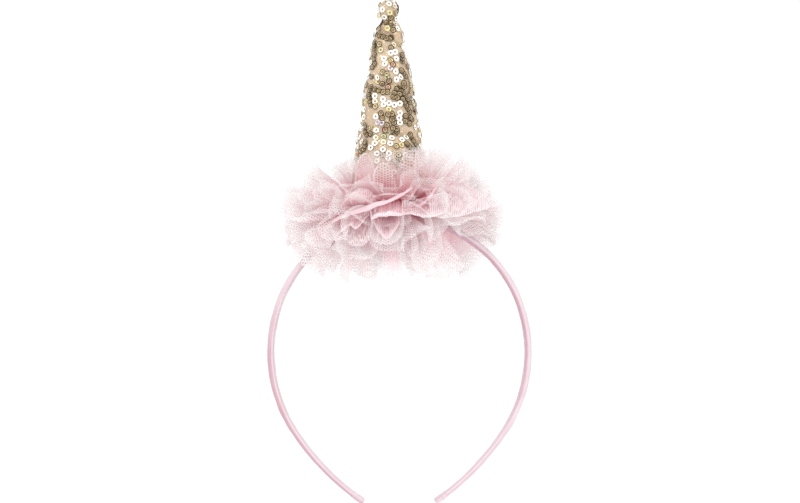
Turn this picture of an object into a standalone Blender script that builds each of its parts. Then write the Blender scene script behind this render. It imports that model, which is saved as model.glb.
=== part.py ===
"""A unicorn horn headband: a ribbon-covered hair band that carries a stuffed, spiral-wound horn
of sequin cloth, with five tiers of gathered tulle round the foot of the horn.

Metres, +Z up. The origin is where the inside of the band sits on the crown of the head. X runs
across the head, and the wearer looks along -Y.
"""

import math
from typing import NamedTuple

import bmesh
import bpy
from mathutils import Vector

# Clearance between pieces that touch on the real object.
SEAT_GAP = 0.0003
# Points closer than this are one point.
WELD_DISTANCE = 0.000001

# Band: a flat strip in a satin sleeve, bent into a horseshoe.
BAND_HALF_WIDTH = 0.0643
BAND_DEPTH = 0.0090
BAND_THICKNESS = 0.0032
BAND_EDGE_RESOLUTION = 1

# Ribbon folded over each tip of the band.
TIP_LENGTH = 0.0060
TIP_WALL = 0.0004
TIP_END_WALL = 0.0008

# Horn: stuffed cloth cone, wound with a thread that pulls a spiral groove into it.
HORN_HEIGHT = 0.1072
HORN_BASE_RADIUS = 0.0193
HORN_TIP_RADIUS = 0.0044
HORN_OFFSET = -0.0046
HORN_LEAN_DEG = -1.1
HORN_TURNS = 4.4
HORN_GROOVE_DEPTH = 0.0019
HORN_FOOT_ROUNDING = 0.0020
HORN_SADDLE_HEIGHT = 0.0064
HORN_ROUND_STEPS = 24
HORN_HEIGHT_STEPS = 46
# Rings across the flat foot, as shares of its radius, and round its edge and the tip, by turn.
HORN_FOOT_RING_SHARES = (0.35, 0.7)
HORN_FOOT_EDGE_DEG = (0, 45)
HORN_TIP_DEG = (30, 60)

# Tulle: gathered strips, rooted one above the other on the foot of the horn. Together they make a
# fan, from a steep crown round the horn down to a hem that hangs in front of and behind the band.
TULLE_WALL = 0.0010
TULLE_LENGTH = 0.0370
TULLE_ROOT_LIFT = 0.0008
TULLE_FALL_WIDTH = 0.0140
FAN_TOP_DEG = 81.0
FAN_FREE_BOTTOM_DEG = -60.0
# Share of the slope down to the band at which the lowest strip lies over it.
FAN_SIDE_SHARE = 0.72
TULLE_ROUND_STEPS = 88
TULLE_LENGTH_STEPS = 3


class BandArc(NamedTuple):
    """One arc of half the band's centreline. The radius is a share of BAND_HALF_WIDTH."""

    name: str
    radius_share: float
    sweep_deg: float
    steps: int


BAND_ARCS = (
    BandArc("crown", 0.990, 68.0, 14),
    BandArc("side", 1.124, 56.0, 11),
    BandArc("leg", 2.018, 21.0, 7),
)


class HornSection(NamedTuple):
    """Radius of the horn's envelope. Height is a share of HORN_HEIGHT, and fullness runs from 0 at
    HORN_TIP_RADIUS to 1 at HORN_BASE_RADIUS."""

    height_share: float
    fullness: float


HORN_SECTIONS = (
    HornSection(0.00, 1.00),
    HornSection(0.12, 0.98),
    HornSection(0.30, 0.86),
    HornSection(0.44, 0.71),
    HornSection(0.58, 0.56),
    HornSection(0.72, 0.40),
    HornSection(0.86, 0.22),
    HornSection(0.92, 0.05),
    HornSection(1.00, 0.00),
)

# Exponent that narrows the groove of the winding and rounds the cloth between its turns.
WINDING_SHARPNESS = 2
# Shares of the horn's height where the groove starts, where it is fully deep and where it fades.
WINDING_FOOT_SHARE = 0.12
WINDING_FULL_SHARE = 0.24
WINDING_TIP_SHARE = 0.90


class Tier(NamedTuple):
    """One gathered strip of tulle. It waves between two slopes, given as shares of the fan's spread
    from its bottom to its top. The lengths over the band (side) and where it hangs free are shares of
    TULLE_LENGTH."""

    name: str
    low: float
    high: float
    side_length: float
    free_length: float
    waves: int
    fine_waves: int
    phase_deg: float


TULLE_TIERS = (
    Tier("tulle_hem", 0.000, 0.145, 1.00, 1.00, 11, 18, 20),
    Tier("tulle_lower", 0.160, 0.335, 0.98, 0.98, 10, 17, 75),
    Tier("tulle_middle", 0.350, 0.525, 0.84, 0.90, 11, 16, 140),
    Tier("tulle_upper", 0.540, 0.740, 0.77, 0.81, 9, 15, 210),
    Tier("tulle_crown", 0.760, 1.000, 0.66, 0.68, 8, 13, 300),
)

# Share of the wave that the second, finer wave makes.
FINE_WAVE_SHARE = 0.3
# Share by which a strip's length changes from fold to fold.
HEM_SCALLOP_SHARE = 0.05
# Share by which the strips reach further on the right than on the left.
LOPSIDED_SHARE = 0.05
# Height of each strip's arch, as a share of its length.
ARCH_SHARE = 0.035

SATIN = ("satin", (0.87, 0.66, 0.70), 0.35, 0.0)
SEQUIN_CLOTH = ("sequin_cloth", (0.72, 0.58, 0.36), 0.30, 0.6)
TULLE = ("tulle", (0.95, 0.74, 0.79), 0.80, 0.0)


def clear_scene():
    for obj in list(bpy.data.objects):
        bpy.data.objects.remove(obj)


def new_collection(name):
    collection = bpy.data.collections.new(name)
    bpy.context.scene.collection.children.link(collection)
    return collection


def finish(name, color, roughness, metallic):
    material = bpy.data.materials.new(name)
    material.use_nodes = True
    shader = material.node_tree.nodes["Principled BSDF"]
    shader.inputs["Base Color"].default_value = (*color, 1.0)
    shader.inputs["Roughness"].default_value = roughness
    shader.inputs["Metallic"].default_value = metallic
    return material


def band_stations():
    """Points down the middle of half the band, from the crown to the tip, with the heading at each,
    in radians below +X."""
    heading = 0.0
    point = Vector((0.0, 0.0, BAND_THICKNESS / 2))
    stations = [(point.copy(), heading)]
    for arc in BAND_ARCS:
        radius = arc.radius_share * BAND_HALF_WIDTH
        turn = math.radians(arc.sweep_deg) / arc.steps
        chord = 2 * radius * math.sin(turn / 2)
        for _ in range(arc.steps):
            middle = heading + turn / 2
            point = point + chord * Vector((math.cos(middle), 0.0, -math.sin(middle)))
            heading += turn
            stations.append((point.copy(), heading))
    return stations


def mirrored(points):
    """A half outline that starts on the middle plane, made whole from the left end to the right."""
    left = [Vector((-p.x, p.y, p.z)) for p in reversed(points[1:])]
    return left + points


def strip_object(name, collection, points, depth, thickness, resolution):
    """A flat strip with round edges that follows points in the X-Z plane."""
    curve = bpy.data.curves.new(name, "CURVE")
    curve.dimensions = "3D"
    curve.fill_mode = "FULL"
    curve.bevel_depth = thickness / 2
    curve.bevel_resolution = resolution
    curve.extrude = (depth - thickness) / 2
    curve.use_fill_caps = True
    spline = curve.splines.new("POLY")
    spline.points.add(len(points) - 1)
    for target, p in zip(spline.points, points):
        target.co = (p.x, p.z, 0.0, 1.0)
    strip = bpy.data.objects.new(name, curve)
    strip.rotation_euler = (math.pi / 2, 0.0, 0.0)
    collection.objects.link(strip)
    return strip


def to_mesh_object(curve_object):
    """The evaluated curve as a mesh object under the same name, with its caps welded on."""
    name = curve_object.name
    collection = curve_object.users_collection[0]
    bpy.context.view_layer.update()
    graph = bpy.context.evaluated_depsgraph_get()
    mesh = bpy.data.meshes.new_from_object(curve_object.evaluated_get(graph))
    matrix = curve_object.matrix_world.copy()
    bpy.data.objects.remove(curve_object)
    shape = bmesh.new()
    shape.from_mesh(mesh)
    bmesh.ops.remove_doubles(shape, verts=shape.verts, dist=WELD_DISTANCE)
    bmesh.ops.recalc_face_normals(shape, faces=shape.faces)
    shape.to_mesh(mesh)
    shape.free()
    obj = bpy.data.objects.new(name, mesh)
    obj.matrix_world = matrix
    collection.objects.link(obj)
    return obj


def cut(target, cutter):
    modifier = target.modifiers.new("cut", "BOOLEAN")
    modifier.operation = "DIFFERENCE"
    modifier.object = cutter
    cutter.hide_render = True
    cutter.display_type = "WIRE"


def make_band(collection, material):
    points = mirrored([p for p, _ in band_stations()])
    band = strip_object("band", collection, points, BAND_DEPTH, BAND_THICKNESS, BAND_EDGE_RESOLUTION)
    band = to_mesh_object(band)
    band.data.materials.clear()
    band.data.materials.append(material)
    return band


def tail(points, length):
    """The last stretch of a line of points, cut to a length."""
    kept = [points[-1]]
    for point in reversed(points[:-1]):
        step = (point - kept[0]).length
        if step >= length:
            kept.insert(0, kept[0].lerp(point, length / step))
            break
        kept.insert(0, point)
        length -= step
    return kept


def make_tip_wrap(name, side, collection, cutters, material):
    """Ribbon folded over one tip: a close sleeve with a closed end. Side is 1 at +X and -1 at -X."""
    stations = band_stations()
    end, heading = stations[-1]
    along = Vector((math.cos(heading), 0.0, -math.sin(heading)))
    line = [point for point, _ in stations]
    room = 2 * SEAT_GAP
    wall = 2 * TIP_WALL

    def follow(length, past_end):
        points = tail(line, length) + [end + past_end * along]
        return [Vector((side * p.x, p.y, p.z)) for p in points]

    depth = BAND_DEPTH + room
    thickness = BAND_THICKNESS + room
    outer = follow(TIP_LENGTH, SEAT_GAP + TIP_END_WALL)
    inner = follow(2 * TIP_LENGTH, SEAT_GAP)
    wrap = strip_object(name, collection, outer, depth + wall, thickness + wall, BAND_EDGE_RESOLUTION)
    wrap = to_mesh_object(wrap)
    wrap.data.materials.clear()
    wrap.data.materials.append(material)
    socket = strip_object(name + "_socket", cutters, inner, depth, thickness, BAND_EDGE_RESOLUTION)
    cut(wrap, to_mesh_object(socket))
    return wrap


def smooth_between(rows, at):
    """The second column of rows at a place in the first, eased by a cubic through neighbouring rows."""
    last = len(rows) - 2
    i = max(0, min(last, sum(row[0] <= at for row in rows) - 1))
    before, low, high, after = (rows[max(0, i - 1)], rows[i], rows[i + 1], rows[min(last + 1, i + 2)])
    span = high[0] - low[0]
    t = (at - low[0]) / span
    slope_low = (high[1] - before[1]) / (high[0] - before[0]) * span
    slope_high = (after[1] - low[1]) / (after[0] - low[0]) * span
    h00 = (1 + 2 * t) * (1 - t) ** 2
    h10 = t * (1 - t) ** 2
    h01 = t * t * (3 - 2 * t)
    h11 = t * t * (t - 1)
    return h00 * low[1] + h10 * slope_low + h01 * high[1] + h11 * slope_high


def horn_axis(height):
    """The middle of the horn at a height above its seat on the band."""
    seat = BAND_THICKNESS + SEAT_GAP
    return Vector((HORN_OFFSET + height * math.tan(math.radians(HORN_LEAN_DEG)), 0.0, seat + height))


def horn_envelope(height):
    """The horn's radius at a height, without its groove."""
    share = height / HORN_HEIGHT
    fullness = smooth_between(HORN_SECTIONS, share)
    return HORN_TIP_RADIUS + fullness * (HORN_BASE_RADIUS - HORN_TIP_RADIUS)


def winding(angle, height):
    """Depth of the spiral groove, from 0 between the turns to 1 in the groove. It runs down from left
    to right across the front, and it fades out at the tip and where the tulle is sewn on."""
    share = height / HORN_HEIGHT
    turn = HORN_TURNS * (1 - share) - angle / (2 * math.pi)
    away = 2 * abs(turn % 1.0 - 0.5)
    foot_fade = (share - WINDING_FOOT_SHARE) / (WINDING_FULL_SHARE - WINDING_FOOT_SHARE)
    tip_fade = (1 - share) / (1 - WINDING_TIP_SHARE)
    return min(1.0, max(0.0, foot_fade), tip_fade) * away**WINDING_SHARPNESS


def band_top(x):
    """Height of the outside of the band's crown arc at x."""
    radius = BAND_ARCS[0].radius_share * BAND_HALF_WIDTH
    outside = radius + BAND_THICKNESS / 2
    reach = min(abs(x), outside)
    return BAND_THICKNESS - outside + math.sqrt(outside**2 - reach**2)


def horn_point(angle, height, inset=0.0):
    """A point on the horn. Its foot is drawn down on each side to follow the arch of the band."""
    radius = horn_envelope(height) - HORN_GROOVE_DEPTH * winding(angle, height) - inset
    p = horn_axis(height) + radius * Vector((math.cos(angle), math.sin(angle), 0.0))
    sag = (band_top(p.x) - BAND_THICKNESS) * max(0.0, 1 - height / HORN_SADDLE_HEIGHT)
    return p + Vector((0.0, 0.0, sag))


def horn_rings():
    """The horn's levels as pairs of height and inset: its flat foot, the rounding round it, the
    flank and the round tip."""
    flat = HORN_BASE_RADIUS - HORN_FOOT_ROUNDING
    levels = [(0.0, HORN_BASE_RADIUS - flat * share) for share in HORN_FOOT_RING_SHARES]
    for turn in HORN_FOOT_EDGE_DEG:
        lift = 1 - math.cos(math.radians(turn))
        draw = 1 - math.sin(math.radians(turn))
        levels.append((HORN_FOOT_ROUNDING * lift, HORN_FOOT_ROUNDING * draw))
    flank = HORN_HEIGHT - HORN_TIP_RADIUS - HORN_FOOT_ROUNDING
    for step in range(HORN_HEIGHT_STEPS + 1):
        levels.append((HORN_FOOT_ROUNDING + flank * step / HORN_HEIGHT_STEPS, 0.0))
    for turn in HORN_TIP_DEG:
        fall = 1 - math.sin(math.radians(turn))
        draw = 1 - math.cos(math.radians(turn))
        levels.append((HORN_HEIGHT - HORN_TIP_RADIUS * fall, HORN_TIP_RADIUS * draw))
    return levels


def make_horn(collection, material):
    """Rings of points from the middle of the foot to the tip, skinned by quads."""
    turns = [2 * math.pi * k / HORN_ROUND_STEPS for k in range(HORN_ROUND_STEPS)]
    rings = [[horn_point(a, height, inset) for a in turns] for height, inset in horn_rings()]
    shape = bmesh.new()
    rows = [[shape.verts.new(p) for p in ring] for ring in rings]
    for low, high in zip(rows, rows[1:]):
        for k in range(HORN_ROUND_STEPS):
            n = (k + 1) % HORN_ROUND_STEPS
            shape.faces.new((low[k], low[n], high[n], high[k]))
    middle = horn_axis(0.0)
    middle.z += band_top(middle.x) - BAND_THICKNESS
    foot_middle = shape.verts.new(middle)
    tip = shape.verts.new(horn_axis(HORN_HEIGHT))
    for k in range(HORN_ROUND_STEPS):
        n = (k + 1) % HORN_ROUND_STEPS
        shape.faces.new((rows[0][n], rows[0][k], foot_middle))
        shape.faces.new((rows[-1][k], rows[-1][n], tip))
    mesh = bpy.data.meshes.new("horn")
    shape.to_mesh(mesh)
    shape.free()
    mesh.shade_smooth()
    mesh.materials.append(material)
    horn = bpy.data.objects.new("horn", mesh)
    collection.objects.link(horn)
    return horn


def side_bottom_deg():
    """Slope of the fan's lowest strip over the band: part of the way down to the band."""
    root = horn_axis(TULLE_ROOT_LIFT)
    root.x += HORN_BASE_RADIUS
    drop = root.z - band_top(root.x + TULLE_LENGTH)
    return -FAN_SIDE_SHARE * math.degrees(math.atan2(drop, TULLE_LENGTH))


def fan_slope(share, free):
    """Slope in radians of a share of the fan, where free is 0 over the band and 1 clear of it."""
    side = side_bottom_deg()
    bottom = side + free * (FAN_FREE_BOTTOM_DEG - side)
    return math.radians(bottom + share * (FAN_TOP_DEG - bottom))


def root_heights():
    """Height of each tier's root above the horn's seat. Neighbours are as close as their walls allow,
    measured square to the steepest slope between them."""
    rise = math.atan(4 * ARCH_SHARE)
    heights = [TULLE_ROOT_LIFT]
    for low, high in zip(TULLE_TIERS, TULLE_TIERS[1:]):
        slopes = [fan_slope(share, free) for share in (low.high, high.low) for free in (0.0, 1.0)]
        steepest = max(abs(slope + rise) for slope in slopes)
        heights.append(heights[-1] + (TULLE_WALL + SEAT_GAP) / math.cos(steepest))
    return heights


def tulle_wave(tier, angle):
    """Where the strip lies between its lower slope, 0, and its upper slope, 1."""
    phase = math.radians(tier.phase_deg)
    broad = math.sin(tier.waves * angle + phase)
    fine = math.sin(tier.fine_waves * angle + 2 * phase)
    return 0.5 + 0.5 * ((1 - FINE_WAVE_SHARE) * broad + FINE_WAVE_SHARE * fine)


def free_share(angle):
    """How far a strip hangs free of the band at an angle round the horn, from 0 to 1."""
    past_edge = (HORN_BASE_RADIUS + TULLE_LENGTH / 2) * abs(math.sin(angle)) - BAND_DEPTH / 2
    share = min(1.0, max(0.0, past_edge / TULLE_FALL_WIDTH))
    return share * share * (3 - 2 * share)


def tulle_point(tier, root_height, angle, share):
    """A point on a tier, share of the way from its root to its hem."""
    free = free_share(angle)
    slope = fan_slope(tier.low + tulle_wave(tier, angle) * (tier.high - tier.low), free)
    length = TULLE_LENGTH * (tier.side_length + free * (tier.free_length - tier.side_length))
    length *= 1 + HEM_SCALLOP_SHARE * math.cos(tier.fine_waves * angle) + LOPSIDED_SHARE * math.cos(angle)
    arch = 4 * ARCH_SHARE * share * (1 - share)
    out = Vector((math.cos(angle), math.sin(angle), 0.0))
    up = Vector((0.0, 0.0, 1.0))
    along = math.cos(slope) * out + math.sin(slope) * up
    square = math.cos(slope) * up - math.sin(slope) * out
    root_slope = slope + math.atan(4 * ARCH_SHARE)
    clear = SEAT_GAP + TULLE_WALL / 2 * abs(math.sin(root_slope))
    root = horn_axis(root_height) + (horn_envelope(root_height) + clear) * out
    return root + length * (share * along + arch * square)


def make_tier(tier, root_height, collection, material):
    """A gathered strip: an open ring of quads with a wall given by Solidify."""
    turns = [2 * math.pi * k / TULLE_ROUND_STEPS for k in range(TULLE_ROUND_STEPS)]
    shares = [k / TULLE_LENGTH_STEPS for k in range(TULLE_LENGTH_STEPS + 1)]
    shape = bmesh.new()
    rows = [[shape.verts.new(tulle_point(tier, root_height, a, share)) for a in turns] for share in shares]
    for inner, outer in zip(rows, rows[1:]):
        for k in range(TULLE_ROUND_STEPS):
            n = (k + 1) % TULLE_ROUND_STEPS
            shape.faces.new((inner[k], outer[k], outer[n], inner[n]))
    mesh = bpy.data.meshes.new(tier.name)
    shape.to_mesh(mesh)
    shape.free()
    mesh.shade_smooth()
    mesh.materials.append(material)
    ruffle = bpy.data.objects.new(tier.name, mesh)
    collection.objects.link(ruffle)
    wall = ruffle.modifiers.new("wall", "SOLIDIFY")
    wall.thickness = TULLE_WALL
    wall.offset = 0.0
    return ruffle


def main():
    clear_scene()
    parts = new_collection("unicorn_horn_headband")
    cutters = new_collection("cutters")
    satin = finish(*SATIN)
    sequin_cloth = finish(*SEQUIN_CLOTH)
    tulle = finish(*TULLE)
    make_band(parts, satin)
    make_tip_wrap("tip_wrap_left", -1, parts, cutters, satin)
    make_tip_wrap("tip_wrap_right", 1, parts, cutters, satin)
    make_horn(parts, sequin_cloth)
    for tier, height in zip(TULLE_TIERS, root_heights()):
        make_tier(tier, height, parts, tulle)


main()
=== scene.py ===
"""Looks of the unicorn horn headband: a satin band, a stuffed horn of sequin cloth and gathered tulle.

Metres, +Z up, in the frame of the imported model. The camera looks along +Y.
"""

import math
from typing import NamedTuple

import bmesh
import bpy
import numpy as np
from bpy.props import FloatProperty, FloatVectorProperty, IntProperty, PointerProperty
from bpy.types import Operator, Panel, PropertyGroup
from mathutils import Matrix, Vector
from mathutils.bvhtree import BVHTree


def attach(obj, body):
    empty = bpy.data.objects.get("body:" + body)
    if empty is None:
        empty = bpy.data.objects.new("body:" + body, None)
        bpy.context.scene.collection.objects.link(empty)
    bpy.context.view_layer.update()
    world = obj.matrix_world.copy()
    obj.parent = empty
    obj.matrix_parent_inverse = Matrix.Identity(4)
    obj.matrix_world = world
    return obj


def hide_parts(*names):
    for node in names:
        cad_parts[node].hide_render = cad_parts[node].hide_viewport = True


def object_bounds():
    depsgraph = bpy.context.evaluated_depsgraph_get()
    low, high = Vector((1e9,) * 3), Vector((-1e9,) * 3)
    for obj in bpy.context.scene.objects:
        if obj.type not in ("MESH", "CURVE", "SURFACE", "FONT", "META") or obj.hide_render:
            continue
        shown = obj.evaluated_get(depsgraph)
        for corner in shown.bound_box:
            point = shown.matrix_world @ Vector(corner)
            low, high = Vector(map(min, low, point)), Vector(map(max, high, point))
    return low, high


bl_info = {
    "name": "Unicorn Horn Headband",
    "version": (1, 0, 0),
    "blender": (4, 5, 0),
    "location": "View3D > Sidebar > Headband",
    "description": "Makes a headband with a sequin horn and a tulle ruffle, piece by piece",
    "category": "Add Mesh",
}

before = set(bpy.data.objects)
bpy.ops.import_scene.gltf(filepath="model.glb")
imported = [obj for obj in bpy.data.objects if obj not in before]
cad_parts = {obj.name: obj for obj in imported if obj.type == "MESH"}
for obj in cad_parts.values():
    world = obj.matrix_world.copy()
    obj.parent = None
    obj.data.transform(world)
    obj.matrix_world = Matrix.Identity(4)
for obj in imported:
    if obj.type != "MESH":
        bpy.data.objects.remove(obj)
CAD_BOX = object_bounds()

BODY = "root"

# The band's centreline: arcs from the crown to the tip, as a share of its half width and a sweep.
BAND_ARCS = ((0.990, 68.0), (1.124, 56.0), (2.018, 21.0))

# The horn's envelope: height as a share of the horn's, and fullness from 0 at the tip's radius to 1
# at the foot's.
HORN_SECTIONS = (
    (0.00, 0.95),
    (0.12, 0.95),
    (0.33, 0.80),
    (0.44, 0.66),
    (0.58, 0.52),
    (0.72, 0.34),
    (0.80, 0.22),
    (0.86, 0.16),
    (0.90, 0.04),
    (1.00, 0.00),
)

# Where the horn stands: its place across the band, its lean, the gap between its foot and the satin,
# and how far up the foot is drawn down on each side of the band.
HORN_OFFSET = -0.0046
HORN_LEAN = math.tan(math.radians(-0.55))
SEAT_GAP = 0.0003
HORN_SADDLE = 0.0064

# The radius at which the horn's net is true to size.
MEAN_RADIUS = 0.0135


def linear(*shades):
    """Screen colour values as linear ones."""
    return tuple(s / 12.92 if s <= 0.04045 else ((s + 0.055) / 1.055) ** 2.4 for s in shades)


def length_prop(name, description, default):
    return FloatProperty(
        name=name, description=description, default=default, min=0.0, unit="LENGTH", precision=5
    )


def colour_prop(name, description, *shades):
    return FloatVectorProperty(
        name=name, description=description, default=linear(*shades), min=0.0, max=1.0, subtype="COLOR"
    )


class BandSettings(PropertyGroup):
    half_width: length_prop("Half Width", "Half the width of the horseshoe, to the band's middle", 0.0643)
    depth: length_prop("Depth", "Width of the strip, from front to back", 0.0090)
    thickness: length_prop("Thickness", "Thickness of the covered strip", 0.0032)
    tip_length: length_prop("Tip Length", "How far the folded ribbon reaches up each tip", 0.0060)
    tip_wall: length_prop("Tip Wall", "Thickness of the folded ribbon", 0.0004)
    puff: length_prop("Puff", "How far the ribbon stands off the strip", 0.0003)
    colour: colour_prop("Satin", "Colour of the satin in full light", 0.840, 0.782, 0.800)
    # The satin shade is the colour of painted shade, laid on by the fold attribute.
    shade: colour_prop("Satin Shade", "Colour of the satin in its folds", 0.720, 0.560, 0.610)


class HornSettings(PropertyGroup):
    height: length_prop("Height", "Height of the horn above the band", 0.1072)
    foot_radius: length_prop("Foot Radius", "Radius of the horn at its foot", 0.0193)
    tip_radius: length_prop("Tip Radius", "Radius of the knob at the tip", 0.0044)
    groove: length_prop("Groove", "How deep the winding pulls the cloth in", 0.0017)
    turns: FloatProperty(name="Turns", description="Turns of the winding", default=4.4, min=0.5, max=12.0)
    backing: colour_prop("Mesh Cloth", "Colour of the cloth that carries the sequins", 0.780, 0.695, 0.595)


class SequinSettings(PropertyGroup):
    diameter: length_prop("Diameter", "Diameter of a sequin", 0.0031)
    hole: length_prop("Hole", "Diameter of its hole", 0.0011)
    thickness: length_prop("Thickness", "Thickness of the foil", 0.00012)
    cup: length_prop("Cup", "How far a sequin is dished", 0.00018)
    step: length_prop("Step", "Distance between neighbours on a thread", 0.0022)
    thread: length_prop("Thread", "Diameter of the thread through the sequins", 0.00022)
    seed: IntProperty(name="Seed", description="Which wandering of the sewn lines is made", default=7, min=0)


class TulleSettings(PropertyGroup):
    length: length_prop("Length", "Width of the widest strip, from root to hem", 0.0370)
    mesh: length_prop("Mesh", "Distance between the holes of the net", 0.0016)
    colour: colour_prop("Tulle", "Colour of the net", 0.942, 0.932, 0.930)
    # The root and crease colours are painted shade: the deeper pinks where the net is gathered and inside its
    # folds.
    deep: colour_prop("Tulle Root", "Colour of the net where it is gathered", 0.985, 0.685, 0.750)
    crease: colour_prop("Tulle Crease", "Colour deep inside the folds", 0.975, 0.450, 0.570)
    seed: IntProperty(name="Seed", description="Which set of folds is made", default=3, min=0)


class StageSettings(PropertyGroup):
    distance: length_prop("Camera Distance", "Distance of the camera from the band", 1.6667)
    lens: FloatProperty(name="Lens", description="Focal length in millimetres", default=150.0, min=10.0)
    drop: length_prop("Floor Drop", "How far the floor lies below the tips", 0.20)


class Wire:
    """A socket in a node tree. Python's operators on it add Math nodes."""

    def __init__(self, board, socket):
        self.board = board
        self.socket = socket

    def out(self, name):
        """Another output of the same node."""
        return Wire(self.board, self.socket.node.outputs[name])

    def math(self, operation, *values):
        return self.board.node("ShaderNodeMath", {"operation": operation}, dict(enumerate(values)))

    def __add__(self, other):
        return self.math("ADD", self, other)

    __radd__ = __add__

    def __sub__(self, other):
        return self.math("SUBTRACT", self, other)

    def __rsub__(self, other):
        return self.math("SUBTRACT", other, self)

    def __mul__(self, other):
        return self.math("MULTIPLY", self, other)

    __rmul__ = __mul__

    def __truediv__(self, other):
        return self.math("DIVIDE", self, other)

    def __pow__(self, other):
        return self.math("POWER", self, other)

    def sine(self):
        return self.math("SINE", self)

    def cosine(self):
        return self.math("COSINE", self)

    def size(self):
        return self.math("ABSOLUTE", self)

    def least(self, other):
        return self.math("MINIMUM", self, other)

    def most(self, other):
        return self.math("MAXIMUM", self, other)

    def between(self, low, high):
        """0 below low, 1 above high and smooth between them."""
        ends = {"Value": self, "From Min": low, "From Max": high}
        return self.board.node("ShaderNodeMapRange", {"interpolation_type": "SMOOTHSTEP"}, ends)


class Board:
    """A node tree that is being wired."""

    def __init__(self, tree):
        self.tree = tree

    def node(self, kind, settings=None, inputs=None, output=0):
        """Adds a node: its settings first, then the values or wires of its sockets."""
        made = self.tree.nodes.new(kind)
        for name, value in (settings or {}).items():
            if name == "stops":
                self.set_stops(made.color_ramp, value)
            elif name == "curve":
                self.set_curve(made.mapping, value)
            else:
                setattr(made, name, value)
        for name, value in (inputs or {}).items():
            if isinstance(value, Wire):
                self.tree.links.new(value.socket, made.inputs[name])
            else:
                made.inputs[name].default_value = value
        return Wire(self, made.outputs[output]) if made.outputs else made

    def set_stops(self, ramp, stops):
        """Gives a colour ramp its stops, as pairs of place and colour."""
        while len(ramp.elements) < len(stops):
            ramp.elements.new(1.0)
        for element, (place, colour) in zip(ramp.elements, stops):
            element.position = place
            element.color = (*colour, 1.0)

    def set_curve(self, mapping, points):
        """Gives a float curve its points."""
        curve = mapping.curves[0]
        while len(curve.points) < len(points):
            curve.points.new(0.5, 0.5)
        for point, place in zip(curve.points, points):
            point.location = place
        mapping.update()


class Finish(Board):
    """A material that is being wired."""

    def __init__(self, name):
        self.material = bpy.data.materials.new(name)
        self.material.use_nodes = True
        super().__init__(self.material.node_tree)
        self.tree.nodes.clear()

    def mix(self, factor, first, second):
        """A mix of two colours."""
        inputs = {0: factor, 6: colour4(first), 7: colour4(second)}
        return self.node("ShaderNodeMix", {"data_type": "RGBA"}, inputs, 2)

    def blend(self, factor, first, second):
        """A mix of two shaders."""
        return self.node("ShaderNodeMixShader", None, {0: factor, 1: first, 2: second})

    def noise(self, vector, scale, detail=2.0, rough=0.5):
        inputs = {"Vector": vector, "Scale": scale, "Detail": detail, "Roughness": rough}
        return self.node("ShaderNodeTexNoise", None, inputs)

    def bump(self, height, distance, strength):
        inputs = {"Height": height, "Distance": distance, "Strength": strength}
        return self.node("ShaderNodeBump", None, inputs)

    def object_place(self):
        return self.node("ShaderNodeTexCoord", output="Object")

    def cloth_place(self):
        return self.node("ShaderNodeUVMap", {"uv_map": "cloth"})

    def attribute(self, name):
        return self.node("ShaderNodeAttribute", {"attribute_name": name}, output="Fac")

    def principled(self, **values):
        inputs = {name.replace("_", " "): value for name, value in values.items()}
        return self.node("ShaderNodeBsdfPrincipled", None, inputs)

    def show(self, shader):
        """Ends the tree."""
        self.node("ShaderNodeOutputMaterial", None, {"Surface": shader})
        return self.material


def colour4(value):
    """A colour with its fourth number, where it is a plain one."""
    return value if isinstance(value, Wire) else (*value[:3], 1.0)


def parts_of(finish, vector):
    """The X, Y and Z of a vector wire."""
    x = finish.node("ShaderNodeSeparateXYZ", None, {0: vector})
    return x, x.out("Y"), x.out("Z")


# The pitch of the satin's threads along the ribbon and round it, and the holes of the horn's net.
SATIN_THREAD = 0.00042
SATIN_RIB = 0.00030
HORN_NET = 0.0009


def satin(name, settings):
    """Satin ribbon: fine threads across it, soft creases along it and a sheen."""
    finish = Finish(name)
    along, around, _ = parts_of(finish, finish.cloth_place())
    place = finish.object_place()
    threads = (along * (2 * math.pi / SATIN_THREAD)).sine() * 0.5 + 0.5
    ribs = (around * (2 * math.pi / SATIN_RIB)).sine() * 0.5 + 0.5
    streaks = finish.noise(
        finish.node("ShaderNodeCombineXYZ", None, {"X": along * 90.0, "Y": around * 900.0}), 1.0, 3.0
    )
    creases = finish.noise(
        finish.node("ShaderNodeCombineXYZ", None, {"X": along * 60.0, "Y": around * 260.0}), 1.0, 4.0, 0.6
    )
    blotches = finish.noise(place, 55.0, 2.0)
    # Painted shade: the fold attribute turns the satin towards its shade colour.
    fold = finish.attribute("fold")
    tone = (streaks.between(0.35, 0.70) * 0.16 + blotches.between(0.3, 0.75) * 0.14 + fold * 0.85).least(1.0)
    colour = finish.mix(tone, settings.colour, settings.shade)
    height = threads * 0.35 + ribs * 0.25 + creases * 6.0
    rough = streaks * 0.16 + 0.30
    normal = finish.bump(height, 0.00005, 0.8)
    shader = finish.principled(
        Base_Color=colour,
        Roughness=rough,
        Normal=normal,
        Sheen_Weight=0.15,
        Sheen_Roughness=0.35,
        Sheen_Tint=(1.0, 0.92, 0.95, 1.0),
        Anisotropic=0.3,
    )
    return finish.show(shader)


def net_cover(finish, cell, threshold=0.02, soft=0.16):
    """1 on the threads of a net with six-sided holes and 0 in the holes, by the piece's cloth map."""
    across, down, _ = parts_of(finish, finish.cloth_place())
    k = 4 * math.pi / (math.sqrt(3) * cell)
    slant_a = (across * 0.5 + down * (math.sqrt(3) / 2)) * k
    slant_b = (across * -0.5 + down * (math.sqrt(3) / 2)) * k
    holes = ((across * k).cosine() + slant_a.cosine() + slant_b.cosine()) / 3.0
    return 1.0 - holes.between(threshold - soft, threshold + soft)


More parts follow.
